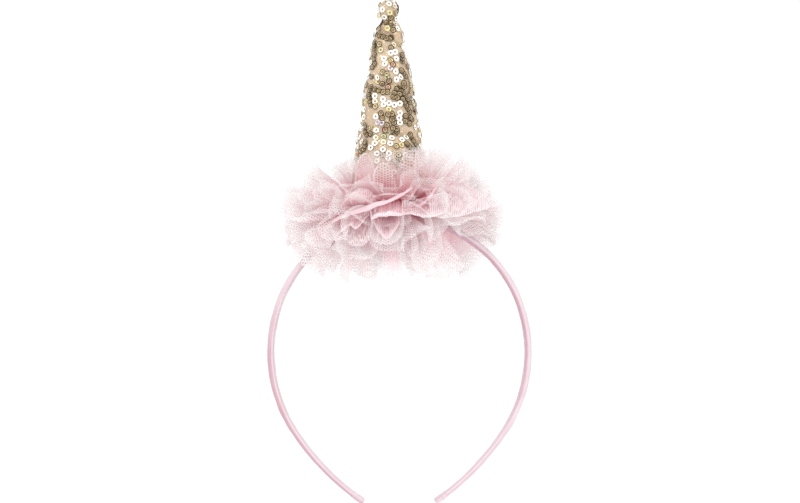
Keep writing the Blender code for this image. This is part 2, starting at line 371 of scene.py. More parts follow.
def tulle(name, settings, share=1.0, open_cover=0.04, thread_cover=0.62):
    """Tulle: a fine net that lets light through. Where it is gathered and in its folds its colour is a deeper
    pink, which is painted shade, and its turned edges and hems are whiter, a painted highlight.
    """
    finish = Finish(name)
    depth = finish.attribute("depth")
    rim = finish.attribute("rim")
    threads = net_cover(finish, settings.mesh * share) * (1.0 - rim)
    place = finish.object_place()
    haze = finish.attribute("haze")
    cloudy = finish.noise(place, 70.0, 2.0)
    # Painted shade: the colour deepens to the root pink by depth, and to the crease pink where depth passes
    # 1.
    tone = (depth + (cloudy - 0.5) * 0.30).least(1.0).most(0.0)
    colour = finish.mix(tone, settings.colour, settings.deep)
    colour = finish.mix((depth - 1.0).most(0.0).least(1.0), colour, settings.crease)
    # Painted highlight: the turned edges and hems are whiter by rim.
    colour = finish.mix(rim * 0.75, colour, linear(0.985, 0.915, 0.935))
    cover = (threads * (thread_cover - open_cover) + open_cover) * haze
    cover = (cover + depth * 0.25 + (depth - 1.0).most(0.0) * 0.6).most(rim * 0.88).least(1.0)
    normal = finish.bump(threads, 0.00008, 0.5)
    lit = finish.principled(Base_Color=colour, Roughness=0.75, Normal=normal, Sheen_Weight=0.15)
    shone = finish.node("ShaderNodeBsdfTranslucent", None, {"Color": colour})
    cloth = finish.blend(0.42, lit, shone)
    clear = finish.node("ShaderNodeBsdfTransparent")
    return finish.show(finish.blend(cover, clear, cloth))


def mesh_cloth(name, settings):
    """The horn's cloth: a knitted beige net over its stuffing, flecked with glitter."""
    finish = Finish(name)
    threads = net_cover(finish, HORN_NET, 0.30, 0.22)
    place = finish.object_place()
    blotches = finish.noise(place, 120.0, 3.0)
    flecks = finish.node("ShaderNodeTexVoronoi", None, {"Vector": place, "Scale": 1500.0}, "Color")
    fleck, hue, _ = parts_of(finish, flecks)
    # Painted shade: the net's holes are darker than its threads.
    dark = tuple(0.42 * c for c in settings.backing[:3])
    pale = tuple(min(1.0, 1.25 * c) for c in settings.backing[:3])
    colour = finish.mix(threads * 0.7 + 0.3, dark, settings.backing)
    colour = finish.mix(blotches.between(0.45, 0.75) * 0.6, colour, pale)
    glitter = fleck.between(0.86, 0.90)
    spark = finish.mix(hue, linear(0.98, 0.90, 0.66), linear(0.80, 0.66, 0.50))
    colour = finish.mix(glitter * 0.8, colour, spark)
    normal = finish.bump(threads + blotches * 2.0, 0.00010, 0.8)
    shader = finish.principled(
        Base_Color=colour,
        Roughness=0.62 - glitter * 0.35,
        Metallic=glitter * 0.8,
        Normal=normal,
    )
    return finish.show(shader)


def sequin_foil(name):
    """Gold foil with a dark line round each sequin's rim and hole: the rim's a painted reflection of its
    cupped edge, the hole's painted shade. Each sequin has its own tone: gold foil whose brightness, from dark
    to white, is a painted reflection.
    """
    finish = Finish(name)
    tone = finish.attribute("tone")
    hue = finish.attribute("hue")
    ring = finish.attribute("ring")
    painted_reflection_golds = (
        (0.00, linear(0.64, 0.53, 0.35)),
        (0.22, linear(0.76, 0.66, 0.47)),
        (0.42, linear(0.84, 0.76, 0.55)),
        (0.58, linear(0.92, 0.87, 0.70)),
        (0.72, linear(0.97, 0.95, 0.88)),
        (1.00, linear(1.00, 1.00, 0.98)),
    )
    rare = (
        (0.00, linear(0.88, 0.82, 0.60)),
        (0.35, linear(0.82, 0.62, 0.48)),
        (0.65, linear(0.86, 0.81, 0.84)),
        (1.00, linear(0.78, 0.78, 0.60)),
    )
    gold = finish.node("ShaderNodeValToRGB", {"stops": painted_reflection_golds}, {"Fac": tone})
    odd = finish.node("ShaderNodeValToRGB", {"stops": rare}, {"Fac": hue})
    is_odd = hue.between(0.005, 0.01)
    colour = finish.mix(is_odd, gold, odd)
    # Painted reflection: a dark line round the rim. Painted shade: dark round the hole. Both are strongest on
    # darkly reflecting sequins.
    darkly_reflecting = 1.0 - tone.between(0.36, 0.62)
    outline = ring.between(0.48, 0.64) * (darkly_reflecting * 0.97 + 0.02)
    rim = (1.0 - ring.between(0.03, 0.22)) * (darkly_reflecting * 0.45 + 0.08)
    colour = finish.mix(outline.most(rim), colour, linear(0.10, 0.06, 0.02))
    grain = finish.noise(finish.object_place(), 2600.0, 2.0)
    shader = finish.principled(
        Base_Color=colour,
        Metallic=0.80 - tone.between(0.6, 0.9) * 0.45,
        Roughness=grain * 0.12 + 0.20,
        Coat_Weight=0.8,
        Coat_Roughness=0.12,
    )
    return finish.show(shader)


def sewing_thread(name):
    """The fine beige thread that holds the sequins."""
    finish = Finish(name)
    fuzz = finish.noise(finish.object_place(), 4000.0, 2.0)
    colour = finish.mix(fuzz, linear(0.62, 0.50, 0.36), linear(0.86, 0.78, 0.62))
    normal = finish.bump(fuzz, 0.00003, 0.6)
    return finish.show(finish.principled(Base_Color=colour, Roughness=0.7, Normal=normal, Sheen_Weight=0.2))


def paper_floor(name):
    """A matt white studio sheet."""
    finish = Finish(name)
    fibres = finish.noise(finish.object_place(), 9.0, 4.0)
    colour = finish.mix(fibres * 0.1, linear(1.0, 1.0, 1.0), linear(0.985, 0.985, 0.985))
    return finish.show(finish.principled(Base_Color=colour, Roughness=0.9))


def add_object(name, mesh):
    obj = bpy.data.objects.new(name, mesh)
    bpy.context.scene.collection.objects.link(obj)
    return obj


def grid_mesh(name, places, joined, cloth, extras=(), capped=False):
    """A mesh of quads through rows of places. With joined, each row runs round and meets its start.

    cloth is the cloth map, as an array with one more column than places where joined. extras are
    pairs of an attribute's name and its values at the places.
    """
    rows, columns, _ = places.shape
    index = np.arange(rows * columns).reshape(rows, columns)
    if joined:
        index = np.concatenate([index, index[:, :1]], axis=1)
    wide = index.shape[1]
    corner = np.arange(rows * wide).reshape(rows, wide)
    quads, corners = (
        np.stack([grid[:-1, :-1], grid[:-1, 1:], grid[1:, 1:], grid[1:, :-1]], axis=-1).reshape(-1, 4)
        for grid in (index, corner)
    )
    mesh = bpy.data.meshes.new(name)
    mesh.vertices.add(rows * columns)
    mesh.vertices.foreach_set("co", places.reshape(-1).astype(np.float32))
    mesh.loops.add(len(quads) * 4)
    mesh.loops.foreach_set("vertex_index", quads.reshape(-1).astype(np.int32))
    mesh.polygons.add(len(quads))
    mesh.polygons.foreach_set("loop_start", np.arange(0, len(quads) * 4, 4, dtype=np.int32))
    mesh.update(calc_edges=True)
    layer = mesh.uv_layers.new(name="cloth")
    layer.uv.foreach_set("vector", cloth.reshape(-1, 2)[corners.reshape(-1)].astype(np.float32).reshape(-1))
    for label, values in extras:
        attribute = mesh.attributes.new(label, "FLOAT", "POINT")
        attribute.data.foreach_set("value", np.asarray(values, dtype=np.float32).reshape(-1))
    if capped:
        shape = bmesh.new()
        shape.from_mesh(mesh)
        bmesh.ops.holes_fill(shape, edges=[e for e in shape.edges if e.is_boundary], sides=0)
        bmesh.ops.recalc_face_normals(shape, faces=shape.faces)
        shape.to_mesh(mesh)
        shape.free()
    mesh.shade_smooth()
    mesh.validate()
    return mesh


def evaluated_mesh(obj, name):
    """The object's mesh with its modifiers applied, as a plain mesh."""
    graph = bpy.context.evaluated_depsgraph_get()
    mesh = bpy.data.meshes.new_from_object(obj.evaluated_get(graph))
    mesh.name = name
    return mesh


def apply_nodes(name, source, tree, values):
    """Runs a Geometry Nodes tree on a source mesh and returns the result as a plain object."""
    holder = add_object(name, source)
    modifier = holder.modifiers.new(tree.name, "NODES")
    modifier.node_group = tree
    for item in tree.interface.items_tree:
        if item.item_type == "SOCKET" and item.in_out == "INPUT" and item.name in values:
            modifier[item.identifier] = values[item.name]
    bpy.context.view_layer.update()
    mesh = evaluated_mesh(holder, name)
    holder.modifiers.clear()
    holder.data = mesh
    return holder


def new_tree(name, **inputs):
    """A Geometry Nodes tree with a geometry input and output and the named inputs, as wires."""
    tree = bpy.data.node_groups.new(name, "GeometryNodeTree")
    tree.interface.new_socket("Geometry", in_out="INPUT", socket_type="NodeSocketGeometry")
    tree.interface.new_socket("Geometry", in_out="OUTPUT", socket_type="NodeSocketGeometry")
    for label, kind in inputs.items():
        tree.interface.new_socket(label.replace("_", " "), in_out="INPUT", socket_type=kind)
    board = Board(tree)
    board.way_in = board.node("NodeGroupInput")
    return board


# Band and its folded tips.


def band_line(settings, step):
    """Points along half the band's middle line, with the heading at each, below +X in radians."""
    heading = 0.0
    place = np.array([0.0, settings.thickness / 2])
    places = [place]
    headings = [0.0]
    for share, sweep in BAND_ARCS:
        radius = share * settings.half_width
        sweep = math.radians(sweep)
        steps = max(2, round(radius * sweep / step))
        centre = place + radius * np.array([-math.sin(heading), -math.cos(heading)])
        for k in range(1, steps + 1):
            turned = heading + sweep * k / steps
            places.append(centre + radius * np.array([math.sin(turned), math.cos(turned)]))
            headings.append(turned)
        heading += sweep
        place = places[-1]
    return np.array(places), np.array(headings)


def whole_line(settings, step):
    """The band's middle line from the left tip to the right one, with headings and distances."""
    places, headings = band_line(settings, step)
    left = places[:0:-1] * np.array([-1.0, 1.0])
    places = np.concatenate([left, places])
    headings = np.concatenate([-headings[:0:-1], headings])
    run = np.concatenate([[0.0], np.cumsum(np.linalg.norm(np.diff(places, axis=0), axis=1))])
    return places, headings, run


def ribbon_section(depth, thickness, steps=44):
    """The outline across the covered strip: round edges and faces that swell a little. Columns are
    the place from front to back and the place outwards, and the distance round it."""
    radius = thickness / 2
    flat = depth - thickness
    turn = np.linspace(0, 2 * math.pi, steps, endpoint=False)
    across = np.sign(np.cos(turn)) * flat / 2 * np.abs(np.cos(turn)) ** 0.8 + radius * np.cos(turn)
    out = radius * np.sign(np.sin(turn)) * np.abs(np.sin(turn)) ** 0.62
    ring = np.stack([across, out], axis=1)
    closed = np.concatenate([ring, ring[:1]])
    run = np.concatenate([[0.0], np.cumsum(np.linalg.norm(np.diff(closed, axis=0), axis=1))])
    return ring, run


def swept(places, headings, ring, grow=None, lift=None, thin=1.0):
    """Rings of points: the outline set square to the line at each of its places. grow scales the
    outline from place to place, thin its thickness alone, and lift moves each point out along the
    outline's own direction."""
    out = np.stack([np.sin(headings), np.cos(headings)], axis=1)
    grow = np.ones(len(places)) if grow is None else grow
    ring_grown = ring[None] * grow[:, None, None]
    ring_grown[..., 1] *= thin
    if lift is not None:
        towards = ring / np.maximum(np.linalg.norm(ring, axis=1, keepdims=True), 1e-9)
        ring_grown = ring_grown + towards[None] * lift[..., None]
    x = places[:, None, 0] + out[:, None, 0] * ring_grown[..., 1]
    z = places[:, None, 1] + out[:, None, 1] * ring_grown[..., 1]
    return np.stack([x, ring_grown[..., 0], z], axis=-1)


# The sleeve is pulled tight towards the tips: the share of the length that this takes at each end, how
# much thinner the band gets there, and the thickness of the folded tips in proportion.
TIGHT_REACH = 0.18
TIGHT_LOSS = 0.22
TIP_THINNESS = 0.83

# Small forms of the sleeve: its ripples, the seam's place in turns round it, the height of the lap and
# the depth of its crease. A tip's tuck adds a length past the band's end.
RIPPLE_COUNT = 26
RIPPLE_HEIGHT = 0.000018
SEAM_TURN = 0.60
LAP_HEIGHT = 0.00010
LAP_CREASE = 0.00012
TIP_TUCK = 0.0011

# How the light falls on the satin, from the left tip to the right one: the share of the length, where
# across the front edge the shade ends, from -1 inside to 1 outside, its side and its strength.
SATIN_SHADES = (
    (0.00, 0.05, 1.0, 0.90),
    (0.10, 0.00, 1.0, 1.00),
    (0.22, -0.15, 1.0, 0.85),
    (0.30, -0.20, 1.0, 0.30),
    (0.34, -0.30, -1.0, 0.20),
    (0.38, -0.35, -1.0, 0.90),
    (0.50, -0.20, -1.0, 0.80),
    (0.62, -0.20, -1.0, 1.00),
    (0.72, -0.10, -1.0, 0.85),
    (0.82, -0.05, -1.0, 0.55),
    (0.90, -0.30, -1.0, 0.25),
    (1.00, -0.50, -1.0, 0.20),
)


def satin_shade(share, outwards, front):
    """The painted shade over the band's front edge, by SATIN_SHADES, with a thin painted dark line near the
    right tip.
    """
    rows = np.array(SATIN_SHADES)
    edge = np.interp(share, rows[:, 0], rows[:, 1])[:, None]
    side = np.interp(share, rows[:, 0], rows[:, 2])[:, None]
    strength = np.interp(share, rows[:, 0], rows[:, 3])[:, None]
    shade = (0.5 + (outwards[None] - edge) * side * 4.0).clip(0, 1) * strength
    crease = np.exp(-(((outwards[None] - 0.25) / 0.16) ** 2)) * ((share[:, None] - 0.84) / 0.06).clip(0, 1)
    return np.maximum(shade, 0.75 * crease) * front[None]


def make_band(settings):
    """The strip in its satin sleeve, with a lapped seam along the inner face near its front edge."""
    places, headings, run = whole_line(settings, 0.0011)
    ring, around = ribbon_section(settings.depth + 2 * settings.puff, settings.thickness + 2 * settings.puff)
    columns = len(ring)
    turn = np.linspace(0, 2 * math.pi, columns, endpoint=False)
    rng = np.random.default_rng(11)
    ripple = np.zeros((len(places), columns))
    for _ in range(RIPPLE_COUNT):
        pitch = rng.uniform(0.006, 0.030)
        slant = rng.uniform(-2.0, 2.0)
        phase = rng.uniform(0, 2 * math.pi)
        ripple += np.sin(2 * math.pi * run[:, None] / pitch + slant * turn[None] + phase)
    ripple *= RIPPLE_HEIGHT
    # The sleeve's lap: a shallow step on the inner face, and the crease that it leaves.
    seam = 2 * math.pi * SEAM_TURN
    off = (turn - seam + math.pi) % (2 * math.pi) - math.pi
    lap = np.where((off > -0.02) & (off < 0.9), LAP_HEIGHT * (1 - off.clip(0, 0.9) / 0.9), 0.0)
    crease = np.exp(-((off + 0.10) / 0.10) ** 2)
    lift = ripple + lap[None] - LAP_CREASE * crease[None]
    # Painted shade in the fold attribute: over the front edge where less light falls, by satin_shade, and
    # along the lap's crease.
    outwards = ring[:, 1] / ring[:, 1].max()
    front = ((0.35 - np.cos(turn)) / 0.3).clip(0.25, 1)
    share = run / run[-1]
    fold = np.maximum(0.55 * crease[None], satin_shade(share, outwards, front))
    tight = (1 - np.minimum(share, 1 - share) / TIGHT_REACH).clip(0, 1)
    rings = swept(places, headings, ring, lift=lift, thin=(1 - TIGHT_LOSS * tight)[:, None])
    rings = rings[:, ::-1]
    cloth = np.stack(np.broadcast_arrays(run[:, None], around[None, ::-1]), axis=-1)
    mesh = grid_mesh("band_cover", rings, True, cloth, [("fold", fold[:, ::-1])], capped=True)
    band = add_object("band_cover", mesh)
    mesh.materials.append(satin("pink satin", settings))
    return band


def make_tip(name, side, settings):
    """Ribbon folded over one tip: a sleeve whose end is tucked in, with the fold's creases."""
    places, headings, run = whole_line(settings, 0.00025)
    room = 0.4 * settings.tip_wall + settings.puff
    keep = run >= run[-1] - settings.tip_length
    places, headings = places[keep], headings[keep]
    along = np.array([math.cos(headings[-1]), -math.sin(headings[-1])])
    bulge = np.linspace(0, 1, 9)[1:]
    tuck = along * (TIP_TUCK * np.sin(bulge * math.pi / 2))[:, None]
    places = np.concatenate([places, places[-1] + tuck])
    headings = np.concatenate([headings, np.full(len(bulge), headings[-1])])
    ring, around = ribbon_section(settings.depth + 2 * room, settings.thickness + 2 * room, 56)
    run = np.concatenate([[0.0], np.cumsum(np.linalg.norm(np.diff(places, axis=0), axis=1))])
    grow = np.ones(len(places))
    grow[-len(bulge):] = np.cos(bulge * math.pi / 2).clip(0.02)
    grow[-len(bulge):] = 0.30 + 0.70 * grow[-len(bulge):]
    grow[-1] = 0.05
    turn = np.linspace(0, 2 * math.pi, len(ring), endpoint=False)
    reach = (run / run[-1])[:, None]
    pleats = np.sin(5 * turn[None] + 2.0 * reach) * reach**3 * 0.00012
    mouth = 0.00005 * np.exp(-((run[:, None] - 0.0002) / 0.0003) ** 2) * (1 + 0.4 * np.sin(3 * turn[None]))
    slant = 0.00009 * np.exp(-((run[:, None] - 0.0035 - 0.0016 * np.cos(turn[None])) / 0.00022) ** 2)
    lift = pleats + mouth + slant
    # Painted shade in the fold attribute: a dark line along the slanted crease, the outer face where less
    # light falls, more on the left tip, and darker towards the tucked end.
    line = np.exp(-(((run[:, None] - 0.0040 - 0.0016 * np.cos(turn[None])) / 0.0003) ** 2))
    outer = (0.5 - 2 * side * np.sin(turn)[None]).clip(0, 1)
    fold = np.maximum(0.35 * line, (0.75 if side < 0 else 0.35) * outer) + 0.2 * reach**4
    rings = swept(places, headings, ring, grow, lift, TIP_THINNESS)
    rings[..., 0] *= side
    if side > 0:
        rings, fold = rings[:, ::-1], fold[:, ::-1]
    cloth = np.stack(np.broadcast_arrays(run[:, None], around[None]), axis=-1)
    mesh = grid_mesh(name, rings, True, cloth, [("fold", fold)], capped=True)
    return add_object(name, mesh)


# Horn, sequins and their thread.


def horn_tree():
    """Geometry Nodes: bends a flat sheet of turns by heights into the wound horn. A point's X is its
    turn round the horn and its Y the share of the height."""
    kinds = {name: "NodeSocketFloat" for name in ("Height", "Foot_Radius", "Tip_Radius", "Groove", "Turns")}
    kinds["Cloth"] = "NodeSocketMaterial"
    board = new_tree("wound horn", **kinds)
    way_in = board.way_in
    height, foot, tip = way_in.out("Height"), way_in.out("Foot Radius"), way_in.out("Tip Radius")
    place = board.node("GeometryNodeInputPosition")
    turn = board.node("ShaderNodeSeparateXYZ", None, {0: place})
    share = turn.out("Y")
    full = board.node("ShaderNodeFloatCurve", {"curve": HORN_SECTIONS}, {"Value": share})
    flank = tip + full * (foot - tip)
    # The knob at the tip and the rounding of the foot.
    top = ((share - (1.0 - tip / height)) / (tip / height)).most(0.0).least(1.0)
    dome = board.node("ShaderNodeMath", {"operation": "SQRT"}, {0: (1.0 - top * top).most(0.0)})
    low = (1.0 - share * height / 0.0020).most(0.0).least(1.0)
    heel = board.node("ShaderNodeMath", {"operation": "SQRT"}, {0: (1.0 - low * low).most(0.0)})
    angle = turn * (2 * math.pi)
    # The winding: away is 1 under the thread and 0 midway between two of its turns.
    wobble = (angle * 3.0 + share * 31.0).sine() * 0.035 + (angle * 2.0 - share * 47.0).sine() * 0.03
    coil = way_in.out("Turns") * (1.0 - share) - turn + wobble
    part = board.node("ShaderNodeMath", {"operation": "FRACT"}, {0: coil})
    away = (part - 0.5).size() * 2.0
    fade = ((share - 0.12) / 0.12).most(0.0).least((1.0 - share) / 0.10).least(1.0)
    groove = (away**3.0 * 0.75 + away**12.0 * 0.45) * fade * way_in.out("Groove")
    # Puckers: the cloth gathers across the winding and relaxes between its turns.
    pucker = (angle * 21.0 + share * 60.0).sine() * 0.5 + (angle * 13.0 - share * 85.0).sine() * 0.5
    pucker = pucker * away**4.0 * fade * 0.00028
    dents = (angle * 4.0 + share * 23.0).sine() * (share * 57.0 - angle * 2.0).sine() * 0.00025
    # The neck under the knob, where the thread is tied off.
    off_neck = (share - 0.903) / 0.024
    neck = (1.0 - off_neck * off_neck).most(0.0) * 0.0013
    radius = (flank - groove - neck + pucker + dents) * dome * (heel * 0.12 + 0.88) - low * 0.0004
    x = angle.cosine() * radius
    y = angle.sine() * radius
    up = share * height
    bent = board.node("ShaderNodeCombineXYZ", None, {"X": x, "Y": y, "Z": up})
    shaped = board.node("GeometryNodeSetPosition", None, {"Geometry": way_in, "Position": bent})
    final = board.node("GeometryNodeSetMaterial", None, {"Geometry": shaped, "Material": way_in.out("Cloth")})
    board.node("NodeGroupOutput", None, {"Geometry": final})
    return board.tree


def band_drop(x, band):
    """How far the top of the band lies below its crown at x."""
    radius = BAND_ARCS[0][0] * band.half_width + band.thickness / 2
    return np.sqrt(radius**2 - np.minimum(np.abs(x), radius) ** 2) - radius


def make_horn(settings, band):
    """The stuffed cone, wound with a thread, with its foot drawn down on each side of the band."""
    turns, levels = 168, 250
    heel = np.linspace(0, 0.02, 7)[:-1]
    knob = 1 - 0.035 * np.linspace(0.95, 0.0, 14) ** 2
    share = np.concatenate([heel, np.linspace(0.02, 0.965, levels), knob])
    turn = np.arange(turns) / turns
    level = np.zeros((len(share), turns))
    flat = np.stack(np.broadcast_arrays(turn[None, :], share[:, None], level), axis=-1)
    run = np.append(turn, 1.0) * 2 * math.pi * MEAN_RADIUS
    cloth = np.stack(np.broadcast_arrays(run[None, :], share[:, None] * settings.height), axis=-1)
    sheet = grid_mesh("horn_cloth", flat, True, cloth)
    values = {
        "Height": settings.height,
        "Foot Radius": settings.foot_radius,
        "Tip Radius": settings.tip_radius,
        "Groove": settings.groove,
        "Turns": settings.turns,
        "Cloth": mesh_cloth("sequin mesh cloth", settings),
    }
    horn = apply_nodes("horn_cloth", sheet, horn_tree(), values)
    mesh = horn.data
    places = np.empty(len(mesh.vertices) * 3, dtype=np.float32)
    mesh.vertices.foreach_get("co", places)
    places = places.reshape(-1, 3).astype(float)
    height = places[:, 2].copy()
    places[:, 0] += HORN_OFFSET + height * HORN_LEAN
    sag = band_drop(places[:, 0], band) * (1 - height / HORN_SADDLE).clip(0)
    places[:, 2] = band.thickness + SEAT_GAP + height + sag
    mesh.vertices.foreach_set("co", places.reshape(-1).astype(np.float32))
    shape = bmesh.new()
    shape.from_mesh(mesh)
    top = places[:, 2].max() - 1e-4
    bmesh.ops.remove_doubles(shape, verts=[v for v in shape.verts if v.co.z > top], dist=1e-5)
    bmesh.ops.holes_fill(shape, edges=[e for e in shape.edges if e.is_boundary], sides=0)
    bmesh.ops.recalc_face_normals(shape, faces=shape.faces)
    shape.to_mesh(mesh)
    shape.free()
    mesh.shade_smooth()
    return horn


class Sewn(NamedTuple):
    """One sequin's place on its thread."""

    place: Vector
    facing: Vector
    along: Vector
    tone: float
    hue: float


# The sequins that face the front: their kind, and the places of each line, across and up, in
# millimetres.
FRONT_SEQUINS = (
    ("white", ((-5.3, 108.4),)),
    ("white", ((-8.2, 105.8),)),
    ("white", ((-7.4, 102.2),)),
    ("yellow", ((-4.8, 104.2),)),
    ("dark", ((-4.4, 101.9),)),
    ("yellow", ((-9.8, 103.0),)),
    ("tan", ((-2.2, 103.8),)),
    ("cream", ((-2.6, 107.6),)),
    ("dark", ((-6.4, 98.9), (-4.3, 97.6), (-3.2, 95.4))),
    ("white", ((-1.2, 96.1),)),
    ("yellow", ((-5.9, 96.3),)),
    ("dark", ((-11.3, 93.5), (-9.4, 92.4), (-7.5, 91.9), (-5.6, 90.5), (-3.8, 92.1))),
    ("tan", ((-9.8, 88.2),)),
    ("dark", ((-12.3, 89.4), (-12.1, 86.2))),
    ("cream", ((-2.9, 88.1),)),
    ("dark", ((-4.3, 86.4),)),
    ("white", ((-4.4, 83.8), (-2.3, 84.3))),
    ("white", ((-1.7, 80.9),)),
    ("dark", ((0.9, 82.9), (1.1, 79.5))),
    ("white", ((-7.7, 81.0), (-7.3, 78.4))),
    ("tan", ((-4.4, 79.9),)),
    ("orange", ((-3.3, 78.0),)),
    ("lilac", ((-4.5, 76.3),)),
    ("dark", ((-12.1, 82.9), (-12.4, 80.8), (-11.9, 78.7))),
    ("dark", ((-13.2, 77.0),)),
    ("white", ((-2.0, 74.5),)),
    ("white", ((0.5, 71.9), (-1.6, 70.6))),
    ("dark", ((0.8, 75.1), (2.6, 72.2))),
    ("tan", ((-8.3, 74.1), (-6.4, 73.3))),
    ("green", ((-6.2, 71.7),)),
    ("white", ((-10.7, 71.7),)),
    ("dark", ((-5.2, 70.1),)),
    ("dark", ((-14.8, 72.9), (-13.5, 72.1))),
    ("yellow", ((-10.6, 69.4),)),
    ("dark", ((-8.5, 68.1),)),
    ("orange", ((-5.7, 66.5),)),
    ("dark", ((-12.1, 65.6), (-10.0, 64.9), (-7.9, 64.1), (-6.1, 64.2))),
    ("dark", ((-14.1, 66.9), (-14.8, 63.7), (-14.4, 60.4), (-13.9, 58.0))),
    ("white", ((-12.0, 62.3),)),
    ("cream", ((-12.0, 59.6),)),
    ("white", ((-8.1, 60.7),)),
    ("white", ((-7.8, 58.0), (-5.5, 58.7), (-2.8, 57.7), (0.0, 58.5))),
    ("dark", ((2.0, 68.8), (2.8, 67.5), (0.6, 66.5), (-1.6, 65.6))),
    ("dark", ((-2.6, 63.7), (-3.1, 61.8), (-1.3, 61.2), (-0.2, 63.1))),
    ("dark", ((0.6, 65.0), (2.5, 62.6), (4.7, 59.3))),
    ("dark", ((1.4, 60.7), (2.8, 58.0), (4.7, 54.5))),
    ("tan", ((-11.9, 57.1),)),
    ("yellow", ((-5.3, 55.6),)),
    ("dark", ((-9.1, 53.6), (-8.4, 51.3))),
    ("white", ((-11.6, 52.1),)),
    ("lilac", ((-10.8, 49.2), (-8.7, 48.8))),
    ("dark", ((-5.6, 53.1), (-3.2, 53.3), (-3.8, 50.8), (-2.9, 49.0))),
    ("white", ((0.1, 53.7), (-0.3, 51.5), (0.1, 49.0))),
    ("dark", ((2.8, 52.3), (2.7, 49.8), (4.7, 48.5))),
    ("dark", ((5.2, 51.5), (5.8, 50.7))),
    ("dark", ((-16.7, 48.2), (-17.0, 45.2), (-16.2, 42.8), (-14.0, 43.3))),
    ("white", ((-11.3, 45.2),)),
    ("orange", ((-7.0, 45.5),)),
    ("dark", ((-6.3, 47.7),)),
    ("green", ((-5.9, 43.9),)),
    ("dark", ((-3.2, 46.3), (-0.7, 45.3), (-2.4, 43.3))),
    ("cream", ((-11.6, 41.5),)),
    ("white", ((-12.1, 38.7), (-14.1, 36.6))),
    ("green", ((-7.9, 42.1),)),
    ("cream", ((-7.9, 39.2),)),
    ("white", ((-3.8, 41.3), (-4.5, 38.5))),
    ("white", ((3.2, 41.9), (1.1, 40.4))),
    ("yellow", ((0.9, 37.9),)),
    ("tan", ((-1.6, 37.1),)),
    ("dark", ((5.0, 43.3), (5.8, 40.9), (7.7, 38.5), (8.2, 36.3))),
    ("dark", ((3.3, 38.5), (5.2, 36.6), (6.9, 34.9))),
    ("dark", ((-16.7, 39.3), (-16.8, 36.7), (-18.9, 34.9))),
    ("white", ((-8.1, 35.6), (-11.0, 33.5))),
    ("white", ((-5.2, 33.6), (-5.7, 31.1))),
    ("white", ((-11.1, 29.7),)),
    ("dark", ((-8.1, 32.8),)),
    ("white", ((5.0, 31.1),)),
    ("white", ((2.7, 32.8),)),
    ("tan", ((-0.5, 32.8), (0.6, 30.6))),
    ("tan", ((-16.7, 32.2), (-17.5, 29.5))),
    ("dark", ((-2.6, 29.5), (-1.0, 27.9))),
)

# The wandering lines keep to where the horn faces less to the front than this, and end this far
# above its foot.
FRONT_EDGE = -0.52
LOWEST_LINE = 0.012
LINE_ATTEMPTS = 2600

# How a sequin lies: its tilt along the line, its gap over the cloth, and the height of the thread in
# its hole and over its rim.
SEQUIN_TILT = math.radians(8.0)
SEQUIN_GAP = 0.00022
THREAD_IN_HOLE = 0.00016
THREAD_OVER_RIM = 0.00062

# Each kind's tone, a painted reflection from dark to bright, and its place among the rare colours where it is
# one of them.
SEQUIN_KINDS = {
    "white": (0.95, 0.0),
    "cream": (0.66, 0.0),
    "tan": (0.42, 0.0),
    "dark": (0.10, 0.0),
    "yellow": (0.6, 0.02),
    "orange": (0.3, 0.35),
    "lilac": (0.7, 0.65),
    "green": (0.5, 1.0),
}


def sequin_reflection_tone(rng, turn, share):
    """How bright the sequins of a line are, as a painted reflection. Bright lines gather in patches and along
    the flanks.
    """
    patch = math.sin(3 * turn + 9.0 * share + 0.8) + math.sin(2 * turn - 17.0 * share)
    patch += math.sin(5 * turn + 31 * share)
    return patch / 3 + 0.75 * abs(math.cos(turn)) ** 3 + rng.uniform(-0.55, 0.55)


def front_lines(tree, settings):
    """The lines of sequins that face the front."""
    lines = []
    for kind, points in FRONT_SEQUINS:
        tone, hue = SEQUIN_KINDS[kind]
        stops = np.array(points) / 1000
        run = np.concatenate([[0.0], np.cumsum(np.linalg.norm(np.diff(stops, axis=0), axis=1))])
        step = settings.step * (0.90 if kind == "dark" else 1.25)
        count = max(1, round(run[-1] / step) + 1)
        found = []
        for distance in np.linspace(0, run[-1], count):
            across, up = np.interp(distance, run, stops[:, 0]), np.interp(distance, run, stops[:, 1])
            hit, normal, _, _ = tree.ray_cast(Vector((across, -0.1, up)), Vector((0, 1, 0)))
            if hit is not None:
                found.append((hit, normal))
        line = []
        for number, (hit, normal) in enumerate(found):
            before, after = found[max(0, number - 1)][0], found[min(len(found) - 1, number + 1)][0]
            along = after - before if len(found) > 1 else normal.cross(Vector((0, 0, 1)))
            along = (along - along.dot(normal) * normal).normalized()
            line.append(Sewn(hit, normal, along, tone, hue))
        if line:
            lines.append(line)
    return lines


